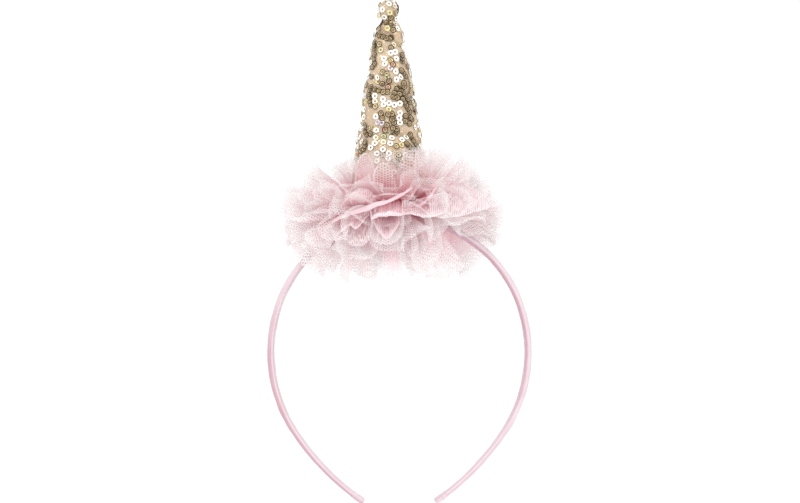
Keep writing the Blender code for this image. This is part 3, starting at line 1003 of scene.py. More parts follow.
def sewn_lines(horn, settings, horn_settings, band):
    """Lines of sequins that wander over the horn without crossing, as lists of Sewn."""
    tree = BVHTree.FromObject(horn, bpy.context.evaluated_depsgraph_get())
    rng = np.random.default_rng(settings.seed)
    seat = band.thickness + SEAT_GAP
    low, high = seat + LOWEST_LINE, seat + horn_settings.height
    cell = settings.diameter
    taken = {}

    def near(place, chain, newest):
        """True if another line, or an older part of this one, is too close."""
        key = tuple(int(math.floor(c / cell)) for c in place)
        for i in (-1, 0, 1):
            for j in (-1, 0, 1):
                for k in (-1, 0, 1):
                    for other, line, number in taken.get((key[0] + i, key[1] + j, key[2] + k), ()):
                        if line == chain and newest - number < 3:
                            continue
                        if (other - place).length < 0.90 * settings.diameter:
                            return True
        return False

    lines = front_lines(tree, settings)
    for number, line in enumerate(lines):
        for sewn in line:
            key = tuple(int(math.floor(c / cell)) for c in sewn.place)
            taken.setdefault(key, []).append((sewn.place, number, 0))
    for attempt in range(LINE_ATTEMPTS):
        turn = rng.uniform(0, 2 * math.pi)
        share = 1 - math.sqrt(rng.uniform(0, 1)) if attempt % 3 else rng.uniform(0, 1)
        height = low + (high - low) * share
        axis = Vector((HORN_OFFSET + (height - seat) * HORN_LEAN, 0, height))
        out = Vector((math.cos(turn), math.sin(turn), 0))
        hit, normal, _, _ = tree.ray_cast(axis + 0.04 * out, -out)
        if hit is None or near(hit, -1, 0) or (normal.y < FRONT_EDGE and rng.uniform() > 0.10):
            continue
        heading = rng.uniform(0, 2 * math.pi)
        bend = rng.uniform(-0.5, 0.5)
        places = []
        place, facing = hit, normal
        value = sequin_reflection_tone(rng, turn, share)
        dark = value < 0.05
        step = settings.step * (0.82 if dark else 1.16)
        longest = int(rng.integers(4, 15) if dark else rng.integers(1, 6))
        for number in range(longest):
            side = facing.cross(Vector((0, 0, 1)))
            side = side.normalized() if side.length > 0.1 else Vector((1, 0, 0))
            rise = side.cross(facing)
            heading += bend + rng.uniform(-0.35, 0.35)
            bend = 0.75 * bend + rng.uniform(-0.28, 0.28)
            along = (math.cos(heading) * side + math.sin(heading) * rise).normalized()
            places.append((place.copy(), facing.copy(), along))
            key = tuple(int(math.floor(c / cell)) for c in place)
            taken.setdefault(key, []).append((place.copy(), len(lines), number))
            onward, normal, _, _ = tree.find_nearest(place + step * along)
            if onward is None or onward.z < low - 0.004 or normal.z < -0.4:
                break
            if near(onward, len(lines), number + 1) or normal.y < FRONT_EDGE:
                break
            place, facing = onward, normal
        tone = float(np.interp(value, [-0.9, -0.1, 0.12, 0.3, 0.9], [0.02, 0.30, 0.55, 0.85, 1.0]))
        hue = float(rng.choice([0.02, 0.35, 0.65, 1.0, 1.0, 1.0])) if rng.uniform() < 0.16 else 0.0
        if hue and len(places) > 2:
            hue = 0.0
        lines.append([Sewn(*p, float(np.clip(tone + rng.uniform(-0.08, 0.08), 0, 1)), hue) for p in places])
    return lines


def sequin_tree():
    """Geometry Nodes: sets a dished foil ring on each point, facing out and tilted along its line."""
    kinds = {name: "NodeSocketFloat" for name in ("Diameter", "Hole", "Thickness", "Cup")}
    kinds["Foil"] = "NodeSocketMaterial"
    board = new_tree("sewn sequins", **kinds)
    way_in = board.way_in
    outer, hole = way_in.out("Diameter") / 2.0, way_in.out("Hole") / 2.0
    middle = (outer + hole) / 2.0
    circle = {"Resolution": 12, "Radius": middle}
    loop = board.node("GeometryNodeCurvePrimitiveCircle", {"mode": "RADIUS"}, circle)
    rim = board.node(
        "GeometryNodeCurvePrimitiveQuadrilateral",
        {"mode": "RECTANGLE"},
        {"Width": outer - hole, "Height": way_in.out("Thickness")},
    )
    ring = board.node("GeometryNodeCurveToMesh", None, {"Curve": loop, "Profile Curve": rim})
    place = board.node("GeometryNodeInputPosition")
    x = board.node("ShaderNodeSeparateXYZ", None, {0: place})
    y, z = x.out("Y"), x.out("Z")
    reach = board.node("ShaderNodeMath", {"operation": "SQRT"}, {0: x * x + y * y})
    share = (reach - hole) / (outer - hole)
    ring = board.node(
        "GeometryNodeStoreNamedAttribute",
        {"data_type": "FLOAT", "domain": "POINT"},
        {"Geometry": ring, "Name": "ring", "Value": share},
    )
    dished = board.node("ShaderNodeCombineXYZ", None, {"X": x, "Y": y, "Z": z + share * way_in.out("Cup")})
    ring = board.node("GeometryNodeSetPosition", None, {"Geometry": ring, "Position": dished})
    vector = {"data_type": "FLOAT_VECTOR"}
    facing = board.node("GeometryNodeInputNamedAttribute", vector, {"Name": "facing"})
    along = board.node("GeometryNodeInputNamedAttribute", vector, {"Name": "along"})
    upright = board.node("FunctionNodeAlignRotationToVector", {"axis": "Z"}, {"Vector": facing})
    turned = board.node(
        "FunctionNodeAlignRotationToVector",
        {"axis": "X", "pivot_axis": "Z"},
        {"Rotation": upright, "Vector": along},
    )
    copies = board.node(
        "GeometryNodeInstanceOnPoints", None, {"Points": way_in, "Instance": ring, "Rotation": turned}
    )
    real = board.node("GeometryNodeRealizeInstances", None, {"Geometry": copies})
    final = board.node("GeometryNodeSetMaterial", None, {"Geometry": real, "Material": way_in.out("Foil")})
    board.node("NodeGroupOutput", None, {"Geometry": final})
    return board.tree


def thread_tree():
    """Geometry Nodes: a round thread along each line of edges."""
    board = new_tree("sewing thread", Diameter="NodeSocketFloat", Thread="NodeSocketMaterial")
    way_in = board.way_in
    lines = board.node("GeometryNodeMeshToCurve", None, {0: way_in})
    circle = {"Resolution": 4, "Radius": way_in.out("Diameter") / 2.0}
    round_section = board.node("GeometryNodeCurvePrimitiveCircle", {"mode": "RADIUS"}, circle)
    tube = board.node(
        "GeometryNodeCurveToMesh", None, {"Curve": lines, "Profile Curve": round_section, "Fill Caps": True}
    )
    real = board.node("GeometryNodeRealizeInstances", None, {"Geometry": tube})
    final = board.node("GeometryNodeSetMaterial", None, {"Geometry": real, "Material": way_in.out("Thread")})
    board.node("NodeGroupOutput", None, {"Geometry": final})
    return board.tree


def make_sequins(lines, settings):
    """The foil rings along the sewn lines."""
    sewn = [s for line in lines for s in line]
    mesh = bpy.data.meshes.new("horn_sequins")
    places, facings, alongs = [], [], []
    for s in sewn:
        facing = (s.facing * math.cos(SEQUIN_TILT) - s.along * math.sin(SEQUIN_TILT)).normalized()
        rise = SEQUIN_GAP + settings.diameter / 2 * math.sin(SEQUIN_TILT)
        places.append(s.place + s.facing * rise)
        facings.append(facing)
        alongs.append(s.along)
    mesh.from_pydata(places, [], [])
    for label, values in (("facing", facings), ("along", alongs)):
        attribute = mesh.attributes.new(label, "FLOAT_VECTOR", "POINT")
        attribute.data.foreach_set("vector", np.array(values, dtype=np.float32).reshape(-1))
    for label, values in (("tone", [s.tone for s in sewn]), ("hue", [s.hue for s in sewn])):
        attribute = mesh.attributes.new(label, "FLOAT", "POINT")
        attribute.data.foreach_set("value", np.array(values, dtype=np.float32))
    values = {
        "Diameter": settings.diameter,
        "Hole": settings.hole,
        "Thickness": settings.thickness,
        "Cup": settings.cup,
        "Foil": sequin_foil("gold foil"),
    }
    return apply_nodes("horn_sequins", mesh, sequin_tree(), values)


def make_sequin_thread(lines, settings):
    """The thread that dips through each hole and rises over the rim to the next."""
    places, edges = [], []
    for line in lines:
        if len(line) < 2:
            continue
        for number, s in enumerate(line):
            if number:
                before = line[number - 1]
                middle = (before.place + s.place) / 2 + s.facing * THREAD_OVER_RIM
                places.append(middle)
                edges.append((len(places) - 2, len(places) - 1))
            places.append(s.place + s.facing * THREAD_IN_HOLE)
            if number:
                edges.append((len(places) - 2, len(places) - 1))
    mesh = bpy.data.meshes.new("sequin_thread")
    mesh.from_pydata(places, edges, [])
    values = {"Diameter": settings.thread, "Thread": sewing_thread("beige thread")}
    return apply_nodes("sequin_thread", mesh, thread_tree(), values)


# Tulle.

# The fan of slopes, in degrees: its top, and its bottom clear of the band and over it. Past the band
# the strips fall over a width, and each is arched by a share of its length.
FAN_TOP = 81.0
FAN_FREE_BOTTOM = -60.0
FAN_SIDE_BOTTOM = -25.65
FALL_WIDTH = 0.014
ARCH_SHARE = 0.035

# In front of the band's right side the lower strips are short, and fall only past a width, so that
# the band shows. The middle and half width of that stretch are angles round the horn.
BARE_MIDDLE = math.radians(325)
BARE_HALF_WIDTH = math.radians(32)
BARE_WIDTH = 0.018

# Where the hem's loose strips hang, the gathered hem behind them is cut shorter by a share.
STRIPS_MIDDLE = math.radians(268)
STRIPS_HALF_WIDTH = math.radians(52)
STRIPS_CUT = 0.17

# The step between the roots of a tier's layers, the hem's greatest turn up or down, the heights of
# the fine pleats and crumples of the strips and of the front folds, the gaps between the roots and the
# horn, and the least gaps to the horn and over the satin.
ROOT_STEP = 0.0009
HEM_FLIP = np.radians(16.0)
PLEAT_HEIGHT = 0.0006
CRUMPLE_HEIGHT = 0.0007
FOLD_PLEAT = 0.0009
FOLD_CRUMPLE = 0.0005
ROOT_GAP = 0.0006
FOLD_ROOT_GAP = 0.0008
HORN_GAP = 0.0011
BAND_GAP = 0.0008


class Tier(NamedTuple):
    """One gathered strip: its node, root height, slopes as shares of the fan, lengths over the band
    and clear of it, folds, layers, how far it lies down clear of the band, how much of the net's cover
    it has and how much is cut off it in front of the band's right side."""

    node: str
    root: float
    low: float
    high: float
    side_length: float
    free_length: float
    folds: int
    layers: int
    dip: float
    haze: float
    bare: float


TIERS = (
    Tier("tulle_hem", 0.0008, 0.000, 0.145, 1.00, 1.00, 10, 3, 0.0, 1.25, 0.42),
    Tier("tulle_lower", 0.0023, 0.160, 0.335, 0.98, 0.98, 9, 3, 0.1, 1.0, 0.20),
    Tier("tulle_middle", 0.0037, 0.350, 0.525, 0.82, 0.86, 8, 2, 0.3, 1.0, 0.0),
    Tier("tulle_upper", 0.0054, 0.540, 0.740, 0.75, 0.73, 7, 2, 0.4, 0.9, 0.0),
    Tier("tulle_crown", 0.0083, 0.760, 1.000, 0.70, 0.68, 6, 2, 0.0, 0.56, 0.0),
)


def waves(rng, turn, counts):
    """A curve that closes round the horn: sine waves with random phases, about -1 to 1."""
    total = np.zeros_like(turn)
    for count in counts:
        total += np.sin(2 * math.pi * count * turn + rng.uniform(0, 2 * math.pi))
    return total / len(counts)


def horn_radius_at(height, horn):
    """The horn's radius at a height above its seat, as drawn."""
    shares = [row[0] for row in HORN_SECTIONS]
    full = [row[1] for row in HORN_SECTIONS]
    fullness = np.interp(height / horn.height, shares, full)
    return horn.tip_radius + fullness * (horn.foot_radius - horn.tip_radius)


def fan_slope(share, free):
    """Slope in radians of a share of the fan, where free is 0 over the band and 1 clear of it."""
    bottom = FAN_SIDE_BOTTOM + free * (FAN_FREE_BOTTOM - FAN_SIDE_BOTTOM)
    return np.radians(bottom + share * (FAN_TOP - bottom))


def free_of_band(angle, settings, band, horn, bare):
    """How far a strip hangs free of the band at an angle round the horn, from 0 to 1. In front of the
    band's right side it starts to hang only past the bare width."""
    past = (horn.foot_radius + settings.length / 2) * np.abs(np.sin(angle)) - band.depth / 2
    front_right = (np.sin(angle) < 0) & (np.cos(angle) > 0)
    share = ((past - np.where(front_right, bare, 0)) / FALL_WIDTH).clip(0, 1)
    return share * share * (3 - 2 * share)


# Gaps between the hem's strips at the front: turns round the horn, half widths and depths.
HEM_GAPS = (
    (0.590, 0.008, 0.24),
    (0.622, 0.010, 0.34),
    (0.668, 0.011, 0.36),
    (0.734, 0.010, 0.30),
    (0.779, 0.011, 0.36),
    (0.842, 0.012, 0.30),
    (0.880, 0.008, 0.24),
)


def ragged_hem(rng, turn, layer, gaps):
    """The strip's width round the horn: rounded lobes, a cut edge, a few slits and the gaps."""
    lobes = int(rng.integers(11, 17))
    scallop = np.abs(np.sin(math.pi * lobes * turn + 1.2 * waves(rng, turn, (2, 3, 7)))) ** 0.55
    jagged = rng.uniform(-1, 1, len(turn))
    jagged = (jagged + np.roll(jagged, 1) + np.roll(jagged, -1)) / 3
    ragged = 0.93 + 0.10 * scallop + 0.05 * waves(rng, turn, (3, 4, 6)) + 0.007 * jagged
    for _ in range(6):
        where = rng.uniform(0, 1)
        width = rng.uniform(0.006, 0.014)
        away = np.abs((turn - where + 0.5) % 1 - 0.5) / width
        ragged = ragged * (1 - rng.uniform(0.12, 0.34) * (1 - away).clip(0))
    for where, width, cut in gaps:
        away = np.abs(turn - where - rng.uniform(-0.003, 0.003)) / width
        ragged = ragged * (1 - cut * ((1 - away) / 0.4).clip(0, 1))
    return ragged * (1 - 0.05 * (layer % 2))


def ruffle(tier, layer, settings, band, horn):
    """The places, cloth map and attributes of one layer of a tier."""
    rng = np.random.default_rng(1000 * settings.seed + 17 * TIERS.index(tier) + layer)
    columns, rows = 760, 26
    turn = np.arange(columns) / columns
    down = np.linspace(0, 1, rows)[:, None]
    # The folds swing the cloth up and down round the middle of the layer's share of the fan, and
    # sideways towards the hem.
    folds = tier.folds + int(rng.integers(0, 3))
    theta = 2 * math.pi * folds * turn + 1.7 * waves(rng, turn, (1, 2, 3, 5)) + rng.uniform(0, 6.28)
    fine = waves(rng, turn, (folds + 7, 2 * folds + 3, 2 * folds + 8))
    middle = tier.low + (tier.high - tier.low) * (layer + 0.5) / tier.layers
    spread = 0.60 * (tier.high - tier.low)
    height = 1 + 0.35 * waves(rng, turn, (2, 3, 5))
    share = middle + spread * height * (0.78 * np.sin(theta) + 0.22 * fine)
    share = share.clip(0.0, 1.0)
    sway = -0.70 * np.sin(2 * theta) / folds + 0.03 * waves(rng, turn, (7, 13, 17))
    angle0 = 2 * math.pi * turn
    angle = angle0[None] + sway[None] * down**1.3
    free = free_of_band(angle0, settings, band, horn, BARE_WIDTH if tier.low < 0.3 else 0.0)[None]
    centre_slope = fan_slope(middle, free)
    slope = centre_slope + (fan_slope(share[None], free) - centre_slope) * np.minimum(1.0, 0.35 + 1.1 * down)
    # The hem turns up and down, and clear of the band the cloth lies lower by the tier's dip.
    flip = waves(rng, turn, (5, 9, 14))[None]
    slope = slope + HEM_FLIP * flip * (down.clip(0.62, 1) - 0.62) / 0.38
    slope = np.where(slope > 0, slope * (1 - tier.dip * free), slope)
    # The length from root to hem, round the horn.
    length = settings.length * (tier.side_length + free * (tier.free_length - tier.side_length))
    length = length * ragged_hem(rng, turn, layer, HEM_GAPS if tier.low == 0 else ())[None]
    length = length * (1 + (0.02 if tier.low < 0.3 else 0.05) * np.cos(angle0))[None]
    front_right = (1 - ((angle0 - BARE_MIDDLE) / BARE_HALF_WIDTH) ** 2).clip(0)
    length = length * (1 - tier.bare * np.minimum(1, 2 * front_right))[None]
    if tier.low == 0:
        at_strips = (1 - ((angle0 - STRIPS_MIDDLE) / STRIPS_HALF_WIDTH) ** 4).clip(0)
        length = length * (1 - STRIPS_CUT * at_strips)[None]
    # The crown is longest at the front right.
    if tier.high == 1:
        length = length * (0.84 + 0.16 * np.cos(angle0 - math.radians(-50)))[None]
    out = np.stack([np.cos(angle), np.sin(angle), np.zeros_like(angle)], axis=-1)
    up = np.array([0.0, 0.0, 1.0])
    along = np.cos(slope)[..., None] * out + np.sin(slope)[..., None] * up
    square = np.cos(slope)[..., None] * up - np.sin(slope)[..., None] * out
    root = tier.root + ROOT_STEP * layer
    seat = band.thickness + SEAT_GAP
    axis = np.array([HORN_OFFSET + root * HORN_LEAN, 0.0, seat + root])
    foot = axis + (horn_radius_at(root, horn) + ROOT_GAP) * out
    arch = 4 * ARCH_SHARE * down * (1 - down) * (1 + 0.8 * waves(rng, turn, (4, 7))[None])
    pleat = waves(rng, turn, (61, 74, 88))[None] * np.sin(math.pi * down**0.6) * PLEAT_HEIGHT
    crumple = waves(rng, turn, (17, 23, 31))[None] * np.sin(2.2 * math.pi * down + 4 * turn[None])
    places = foot + length[..., None] * (down[..., None] * along + arch[..., None] * square)
    places = places + (pleat + crumple * CRUMPLE_HEIGHT)[..., None] * square
    places = off_the_horn(lifted_off_band(places, band), band, horn)
    hem = np.linalg.norm(np.diff(places[-1], axis=0, append=places[-1][:1]), axis=1)
    run = np.concatenate([[0.0], np.cumsum(hem)])
    wide = down * settings.length * tier.free_length
    cloth = np.stack(np.broadcast_arrays(run[None], wide), axis=-1)
    # Painted shade: depth paints the net a deeper pink towards the gathered root. Painted highlight: rim
    # paints the hem whiter, and the net is denser there.
    depth = (1 - down) ** 1.3 * (0.85 + 0.15 * waves(rng, turn, (9, 15))[None])
    edge = 0.30 + 0.22 * waves(rng, turn, (6, 11, 19))
    rim = ((down - 0.96) / 0.03).clip(0, 1) * edge[None]
    haze = np.broadcast_to(tier.haze * (0.85 + 0.38 * down), (rows, columns))
    return places, cloth, {"depth": depth, "rim": rim, "haze": haze}


def lifted_off_band(places, band):
    """Places that would sink into the band's top are lifted to lie on it."""
    radius = BAND_ARCS[0][0] * band.half_width + band.thickness / 2
    x, y, z = places[..., 0], places[..., 1], places[..., 2]
    top = band.thickness - radius + np.sqrt((radius**2 - x**2).clip(0))
    edge = ((np.abs(y) - band.depth / 2) / 0.004).clip(0, 1)
    least = top + BAND_GAP - 0.012 * edge
    over = (np.abs(x) < radius * 0.97) & (edge < 1)
    places[..., 2] = np.where(over & (z < least), least, z)
    return places


def off_the_horn(places, band, horn):
    """Places inside the horn, or too close to it, are moved out to lie on it."""
    height = (places[..., 2] - band.thickness - SEAT_GAP).clip(0, horn.height)
    axis = HORN_OFFSET + height * HORN_LEAN
    x, y = places[..., 0] - axis, places[..., 1]
    reach = np.hypot(x, y)
    least = horn_radius_at(height, horn) + HORN_GAP
    grow = np.maximum(1.0, least / np.maximum(reach, 1e-6))
    places[..., 0] = axis + x * grow
    places[..., 1] = y * grow
    return places


def flat_size(mesh, width):
    """The size a gathered strip was cut to: its area over its width, and its width."""
    area = sum(p.area for p in mesh.polygons)
    return area / width, width


def make_ruffles(settings, band, horn, finish):
    """All the layers of the five tiers."""
    made = []
    for tier in TIERS:
        for layer in range(tier.layers):
            name = f"{tier.node}_{'abc'[layer]}"
            places, cloth, marks = ruffle(tier, layer, settings, band, horn)
            mesh = grid_mesh(name, places, True, cloth, marks.items())
            mesh.materials.append(finish)
            width = settings.length * tier.free_length
            made.append((add_object(name, mesh), tier.node, flat_size(mesh, width)))
    return made


class Fold(NamedTuple):
    """A fold of tulle at the front. Its root runs round the horn between two turns, in degrees, at two
    heights above the band. Its hem runs through points in millimetres. lip is the width of the edge
    that is turned over, lip_way where it points, arch how far the sheet bellies up and out. depth is
    its colour's depth at root and hem, a deeper pink that is painted shade, turning to the crease
    pink, also painted shade, above 1. haze is how much of the net's cover it has, rim how dense and
    how much whiter its turned edge is and sides the same for the cut sides; the whiter colour is a
    painted highlight. A veil shows the horn through its net."""

    name: str
    node: str
    turns: tuple
    heights: tuple
    hem: tuple
    lip: float
    lip_way: tuple
    arch: tuple
    depth: tuple
    haze: float = 1.4
    rim: float = 0.9
    veil: bool = False
    sides: float = 0.0


FRONT_FOLDS = (
    Fold(
        "tulle_long_fold", "tulle_middle", (206, 296), (3.0, 9.0),
        ((-34, -33, -1.5), (-30, -40, 0.2), (-24, -45, 2.4), (-18, -48, 4.2), (-11, -50, 6.6), (-4, -49, 9.2),
         (2, -45, 12.4), (6.5, -38, 16.2)),
        2.4, (0.0, 0.25, 1.0), (1.5, 0.0), (1.2, 0.5), 2.2, 0.9,
    ),
    Fold(
        "tulle_leaf_fold", "tulle_upper", (222, 262), (2.0, 3.0),
        ((-28, -31, 5.0), (-27, -33, 9.0), (-24.5, -35, 13.0), (-21, -35, 15.6), (-17.5, -35, 16.2),
         (-14, -34, 14.8), (-12, -33, 11.5), (-11.5, -32, 7.0)),
        2.2, (0.0, -0.35, -0.9), (-2.0, 11.0), (0.50, 0.22), 3.0, 0.40,
    ),
    Fold(
        "tulle_petal_left", "tulle_crown", (216, 252), (9.0, 11.0),
        ((-22, -17, 14), (-21.8, -18.5, 24), (-20, -20, 31), (-16.5, -21.5, 33), (-13.5, -22, 28.5),
         (-12.2, -22.5, 22), (-12, -22.5, 15)),
        1.8, (0.4, -0.9, 0.0), (0.0, 1.5), (0.7, 0.30), 2.0, 0.15,
    ),
    Fold(
        "tulle_petal_middle", "tulle_crown", (246, 282), (9.0, 10.0),
        ((-13, -24, 9), (-13.5, -26, 17), (-12.5, -27, 24.5), (-9, -27.5, 28.5), (-5, -27.5, 26.5),
         (-2.5, -27, 20.5), (-1.5, -26, 13)),
        2.2, (0.3, -0.9, -0.2), (0.0, 2.0), (0.7, 0.0), 1.05, 0.35, True,
    ),
    Fold(
        "tulle_veil", "tulle_crown", (266, 328), (8.5, 9.5),
        ((-2.0, -20, 21), (-0.4, -20.5, 27), (1.8, -20.5, 32.5), (5.5, -20, 35), (10.0, -17, 36),
         (13.4, -12, 35.2)),
        1.0, (0.3, -0.9, 0.0), (0.0, 0.8), (0.5, 0.1), 1.0, 0.15, True,
    ),
    Fold(
        "tulle_right_fold", "tulle_upper", (292, 338), (4.5, 8.5),
        ((1.0, -43, 2.6), (6.0, -43, 4.6), (11.5, -41, 7.6), (15.5, -38, 11.2), (18.2, -34, 15.8),
         (19.4, -29, 20.6)),
        1.7, (-0.3, 0.1, 1.0), (2.0, 0.0), (1.1, 0.6), 2.4, 0.9,
    ),
    Fold(
        "tulle_short_fold", "tulle_upper", (282, 305), (6.5, 9.0),
        ((2.6, -37, 8.0), (4.6, -37, 10.2), (6.6, -35, 12.2), (8.6, -32, 15.2), (9.6, -28, 17.8)),
        1.5, (-0.5, 0.1, 0.9), (1.0, 0.0), (1.2, 0.7),
    ),
    Fold(
        "tulle_low_fold_left", "tulle_lower", (212, 258), (1.6, 3.2),
        ((-32, -35, -9.0), (-29.5, -40, -6.6), (-26.5, -43, -4.2), (-23.8, -45, -2.4), (-21.4, -45.5, -4.2),
         (-19.2, -46, -2.6), (-16.8, -46, 0.8), (-14.4, -45, 3.0)),
        1.5, (0.2, 0.2, 1.0), (4.5, 0.0), (0.8, 0.30), 2.2, 0.7,
    ),
    Fold(
        "tulle_low_fold_middle", "tulle_lower", (246, 292), (1.4, 3.4),
        ((-14.2, -47, 2.8), (-13.6, -49, 0.2), (-11.6, -50, 1.4), (-8.0, -51, 2.0), (-4.0, -51, 2.3),
         (0.4, -50, 2.2), (3.6, -48, 3.2)),
        2.2, (0.0, 0.15, 1.0), (5.5, 0.0), (0.75, 0.30), 3.2, 0.75,
    ),
    Fold(
        "tulle_low_fold_right", "tulle_lower", (284, 334), (1.6, 4.5),
        ((2.0, -49, 3.4), (6.0, -50, 3.0), (10.5, -49, 1.9), (15.0, -47, 1.6), (20.0, -43, 3.0),
         (25.0, -36, 5.0)),
        1.2, (0.1, 0.1, 1.0), (5.0, 0.0), (0.6, 0.25), 2.8, 0.30,
    ),
    Fold(
        "tulle_side_fold", "tulle_middle", (304, 348), (6.0, 8.0),
        ((15, -45, 3.0), (21, -42, 2.0), (28, -37, 3.0), (34, -31, 4.5), (40, -24, 6.0), (45, -17, 7.0)),
        1.0, (0.2, 0.0, -1.0), (9.0, 2.0), (0.5, 0.15), 2.8, 0.20,
    ),
    Fold(
        "tulle_left_fold", "tulle_middle", (184, 214), (2.0, 4.0),
        ((-54, -10, -0.6), (-48, -17, 2.4), (-40, -24, 4.0), (-33.5, -29, 4.8), (-28, -32, 5.0)),
        1.6, (0.0, 0.2, 1.0), (2.5, 0.0), (0.8, 0.35), 1.3, 0.55,
    ),
    Fold(
        "tulle_pocket_fold", "tulle_hem", (244, 276), (0.8, 1.6),
        ((-13.2, -47, 1.0), (-12.0, -49, -1.6), (-9.6, -50, -4.8), (-6.6, -50.5, -7.8), (-3.4, -50, -5.4),
         (-0.8, -49, -2.0), (0.4, -47, 1.4)),
        1.5, (0.0, 0.3, -1.0), (1.5, 0.0), (1.1, 0.15), 2.8, 0.9,
    ),
    Fold(
        "tulle_hem_fold", "tulle_hem", (228, 258), (0.8, 1.2),
        ((-27, -40, -9.0), (-23.5, -42, -11.0), (-20, -44, -11.6), (-16.5, -46, -10.8), (-14, -47, -8.0)),
        0.8, (0.0, 0.2, -1.0), (5.0, 2.0), (0.5, 0.12), 1.7, 0.25,
    ),
    Fold(
        "tulle_strip_1", "tulle_hem", (226, 236), (0.8, 1.0),
        ((-17.6, -38, -26.5), (-16.4, -38, -27.4), (-15.0, -38.5, -27.0), (-13.6, -39, -26.2)),
        0.3, (0.0, 0.2, -1.0), (3.0, 0.0), (0.5, 0.10), 1.2, 0.25, False, 0.45,
    ),
    Fold(
        "tulle_strip_2", "tulle_hem", (236, 250), (0.8, 1.0),
        ((-28.4, -33, -26.6), (-26.6, -33.5, -27.4), (-24.8, -34, -27.0), (-23.6, -34, -26.0)),
        0.3, (0.0, 0.2, -1.0), (4.0, 0.0), (0.5, 0.12), 1.2, 0.25, False, 0.45,
    ),
    Fold(
        "tulle_strip_3", "tulle_hem", (250, 266), (0.8, 1.0),
        ((-7.6, -42, -26.0), (-5.4, -42.5, -26.6), (-3.0, -43, -26.4), (-0.4, -42, -26.0), (1.6, -42, -25.2)),
        0.3, (0.0, 0.2, -1.0), (5.0, 0.0), (0.5, 0.22), 1.5, 0.20, False, 0.30,
    ),
    Fold(
        "tulle_strip_4", "tulle_hem", (268, 284), (0.8, 1.0),
        ((7.4, -42, -23.5), (9.6, -42, -25.4), (12.6, -42, -26.6), (16.0, -41, -26.0), (18.0, -40, -24.6)),
        0.3, (0.0, 0.2, -1.0), (5.0, 0.0), (0.5, 0.10), 1.2, 0.25, False, 0.35,
    ),
    Fold(
        "tulle_strip_5", "tulle_hem", (282, 300), (0.8, 1.0),
        ((20.0, -38, -26.8), (22.0, -38, -27.6), (25.6, -36, -26.2), (29.6, -34, -24.4), (32.4, -32, -22.6)),
        0.3, (0.0, 0.2, -1.0), (5.0, 0.0), (0.5, 0.08), 1.25, 0.25, False, 0.35,
    ),
)


def smooth_line(points, count):
    """A smooth line through points, with count places at even distances along it."""
    points = np.asarray(points, dtype=float)
    padded = np.concatenate([2 * points[:1] - points[1:2], points, 2 * points[-1:] - points[-2:-1]])
    fine = []
    for i in range(1, len(padded) - 2):
        a, b, c, d = padded[i - 1 : i + 3]
        t = np.linspace(0, 1, 24, endpoint=False)[:, None]
        square = 2 * a - 5 * b + 4 * c - d
        cube = 3 * b - 3 * c + d - a
        fine.append(0.5 * (2 * b + (c - a) * t + square * t**2 + cube * t**3))
    fine = np.concatenate([*fine, points[-1:]])
    run = np.concatenate([[0.0], np.cumsum(np.linalg.norm(np.diff(fine, axis=0), axis=1))])
    even = np.linspace(0, run[-1], count)
    return np.stack([np.interp(even, run, fine[:, i]) for i in range(3)], axis=1)


def fold_sheet(fold, band, horn):
    """The places, cloth map, attributes and width of one fold, its turned-over edge included."""
    rng = np.random.default_rng(500 + FRONT_FOLDS.index(fold))
    columns, rows, lip_rows = 150, 30, 7
    across = np.linspace(0, 1, columns)
    hem = smooth_line(fold.hem, columns) / 1000
    turn = np.radians(np.linspace(*fold.turns, columns))
    height = np.linspace(*fold.heights, columns) / 1000
    reach = horn_radius_at(height, horn) + FOLD_ROOT_GAP
    seat = band.thickness + SEAT_GAP
    root = np.stack(
        [HORN_OFFSET + height * HORN_LEAN + reach * np.cos(turn), reach * np.sin(turn), seat + height], axis=1
    )
    down = np.linspace(0, 1, rows)[:, None, None]
    straight = root[None] + (hem - root)[None] * down
    belly = 4 * down * (1 - down)
    out = np.stack([np.cos(turn), np.sin(turn), np.zeros(columns)], axis=1)
    places = straight + belly * (np.array([0, 0, fold.arch[0] / 1000]) + out[None] * fold.arch[1] / 1000)
    pleat = waves(rng, across, (6, 9, 14))[None, :, None] * np.sin(math.pi * down**0.8) * FOLD_PLEAT
    crumple = waves(rng, across, (3, 5, 8))[None, :, None] * FOLD_CRUMPLE
    crumple = crumple * np.sin(7 * down + 3 * across[None, :, None])
    places = places + (pleat + crumple) * np.array([0.0, -0.3, 1.0])
    # The edge that is turned over.
    curl = np.linspace(0, 1, lip_rows)[1:, None, None]
    way = np.array(fold.lip_way) / np.linalg.norm(fold.lip_way)
    narrow = (np.sin(math.pi * across) ** 0.5 * (1 + 0.25 * waves(rng, across, (2, 3, 5))))[None, :, None]
    onward = hem - places[-3]
    onward = onward / np.linalg.norm(onward, axis=1, keepdims=True)
    lip = fold.lip / 1000
    turned = hem[None] + narrow * lip * (way * curl + onward[None] * 0.28 * np.sin(math.pi * curl))
    places = np.concatenate([places, turned])
    places = off_the_horn(lifted_off_band(places, band), band, horn)
    width = float(np.linalg.norm(np.diff(places, axis=0), axis=2).mean(axis=1).sum())
    cloth = np.stack([places[..., 0], places[..., 2] - places[..., 1]], axis=-1)
    # Painted shade: depth paints the sheet a deeper pink, by fold.depth from root to hem, paler on the lip.
    # Painted highlight: rim paints the turned edge and cut sides whiter, and the net is denser there.
    v = np.concatenate([np.linspace(0, 1, rows), np.ones(lip_rows - 1)])[:, None]
    ends = np.sin(math.pi * across)[None] ** 0.35
    depth = fold.depth[0] + (fold.depth[1] - fold.depth[0]) * v**1.2
    depth = depth * (0.35 + 0.65 * ends)
    depth[rows - 1 :] *= 0.15
    rim = np.zeros_like(depth)
    rim[rows - 1 :] = ends * fold.rim
    side = (1 - np.minimum(across, 1 - across) / 0.05).clip(0, 1)[None]
    rim = np.maximum(rim, fold.sides * side)
    haze = fold.haze * np.ones_like(depth)
    return places, cloth, {"depth": depth, "rim": rim, "haze": haze}, width


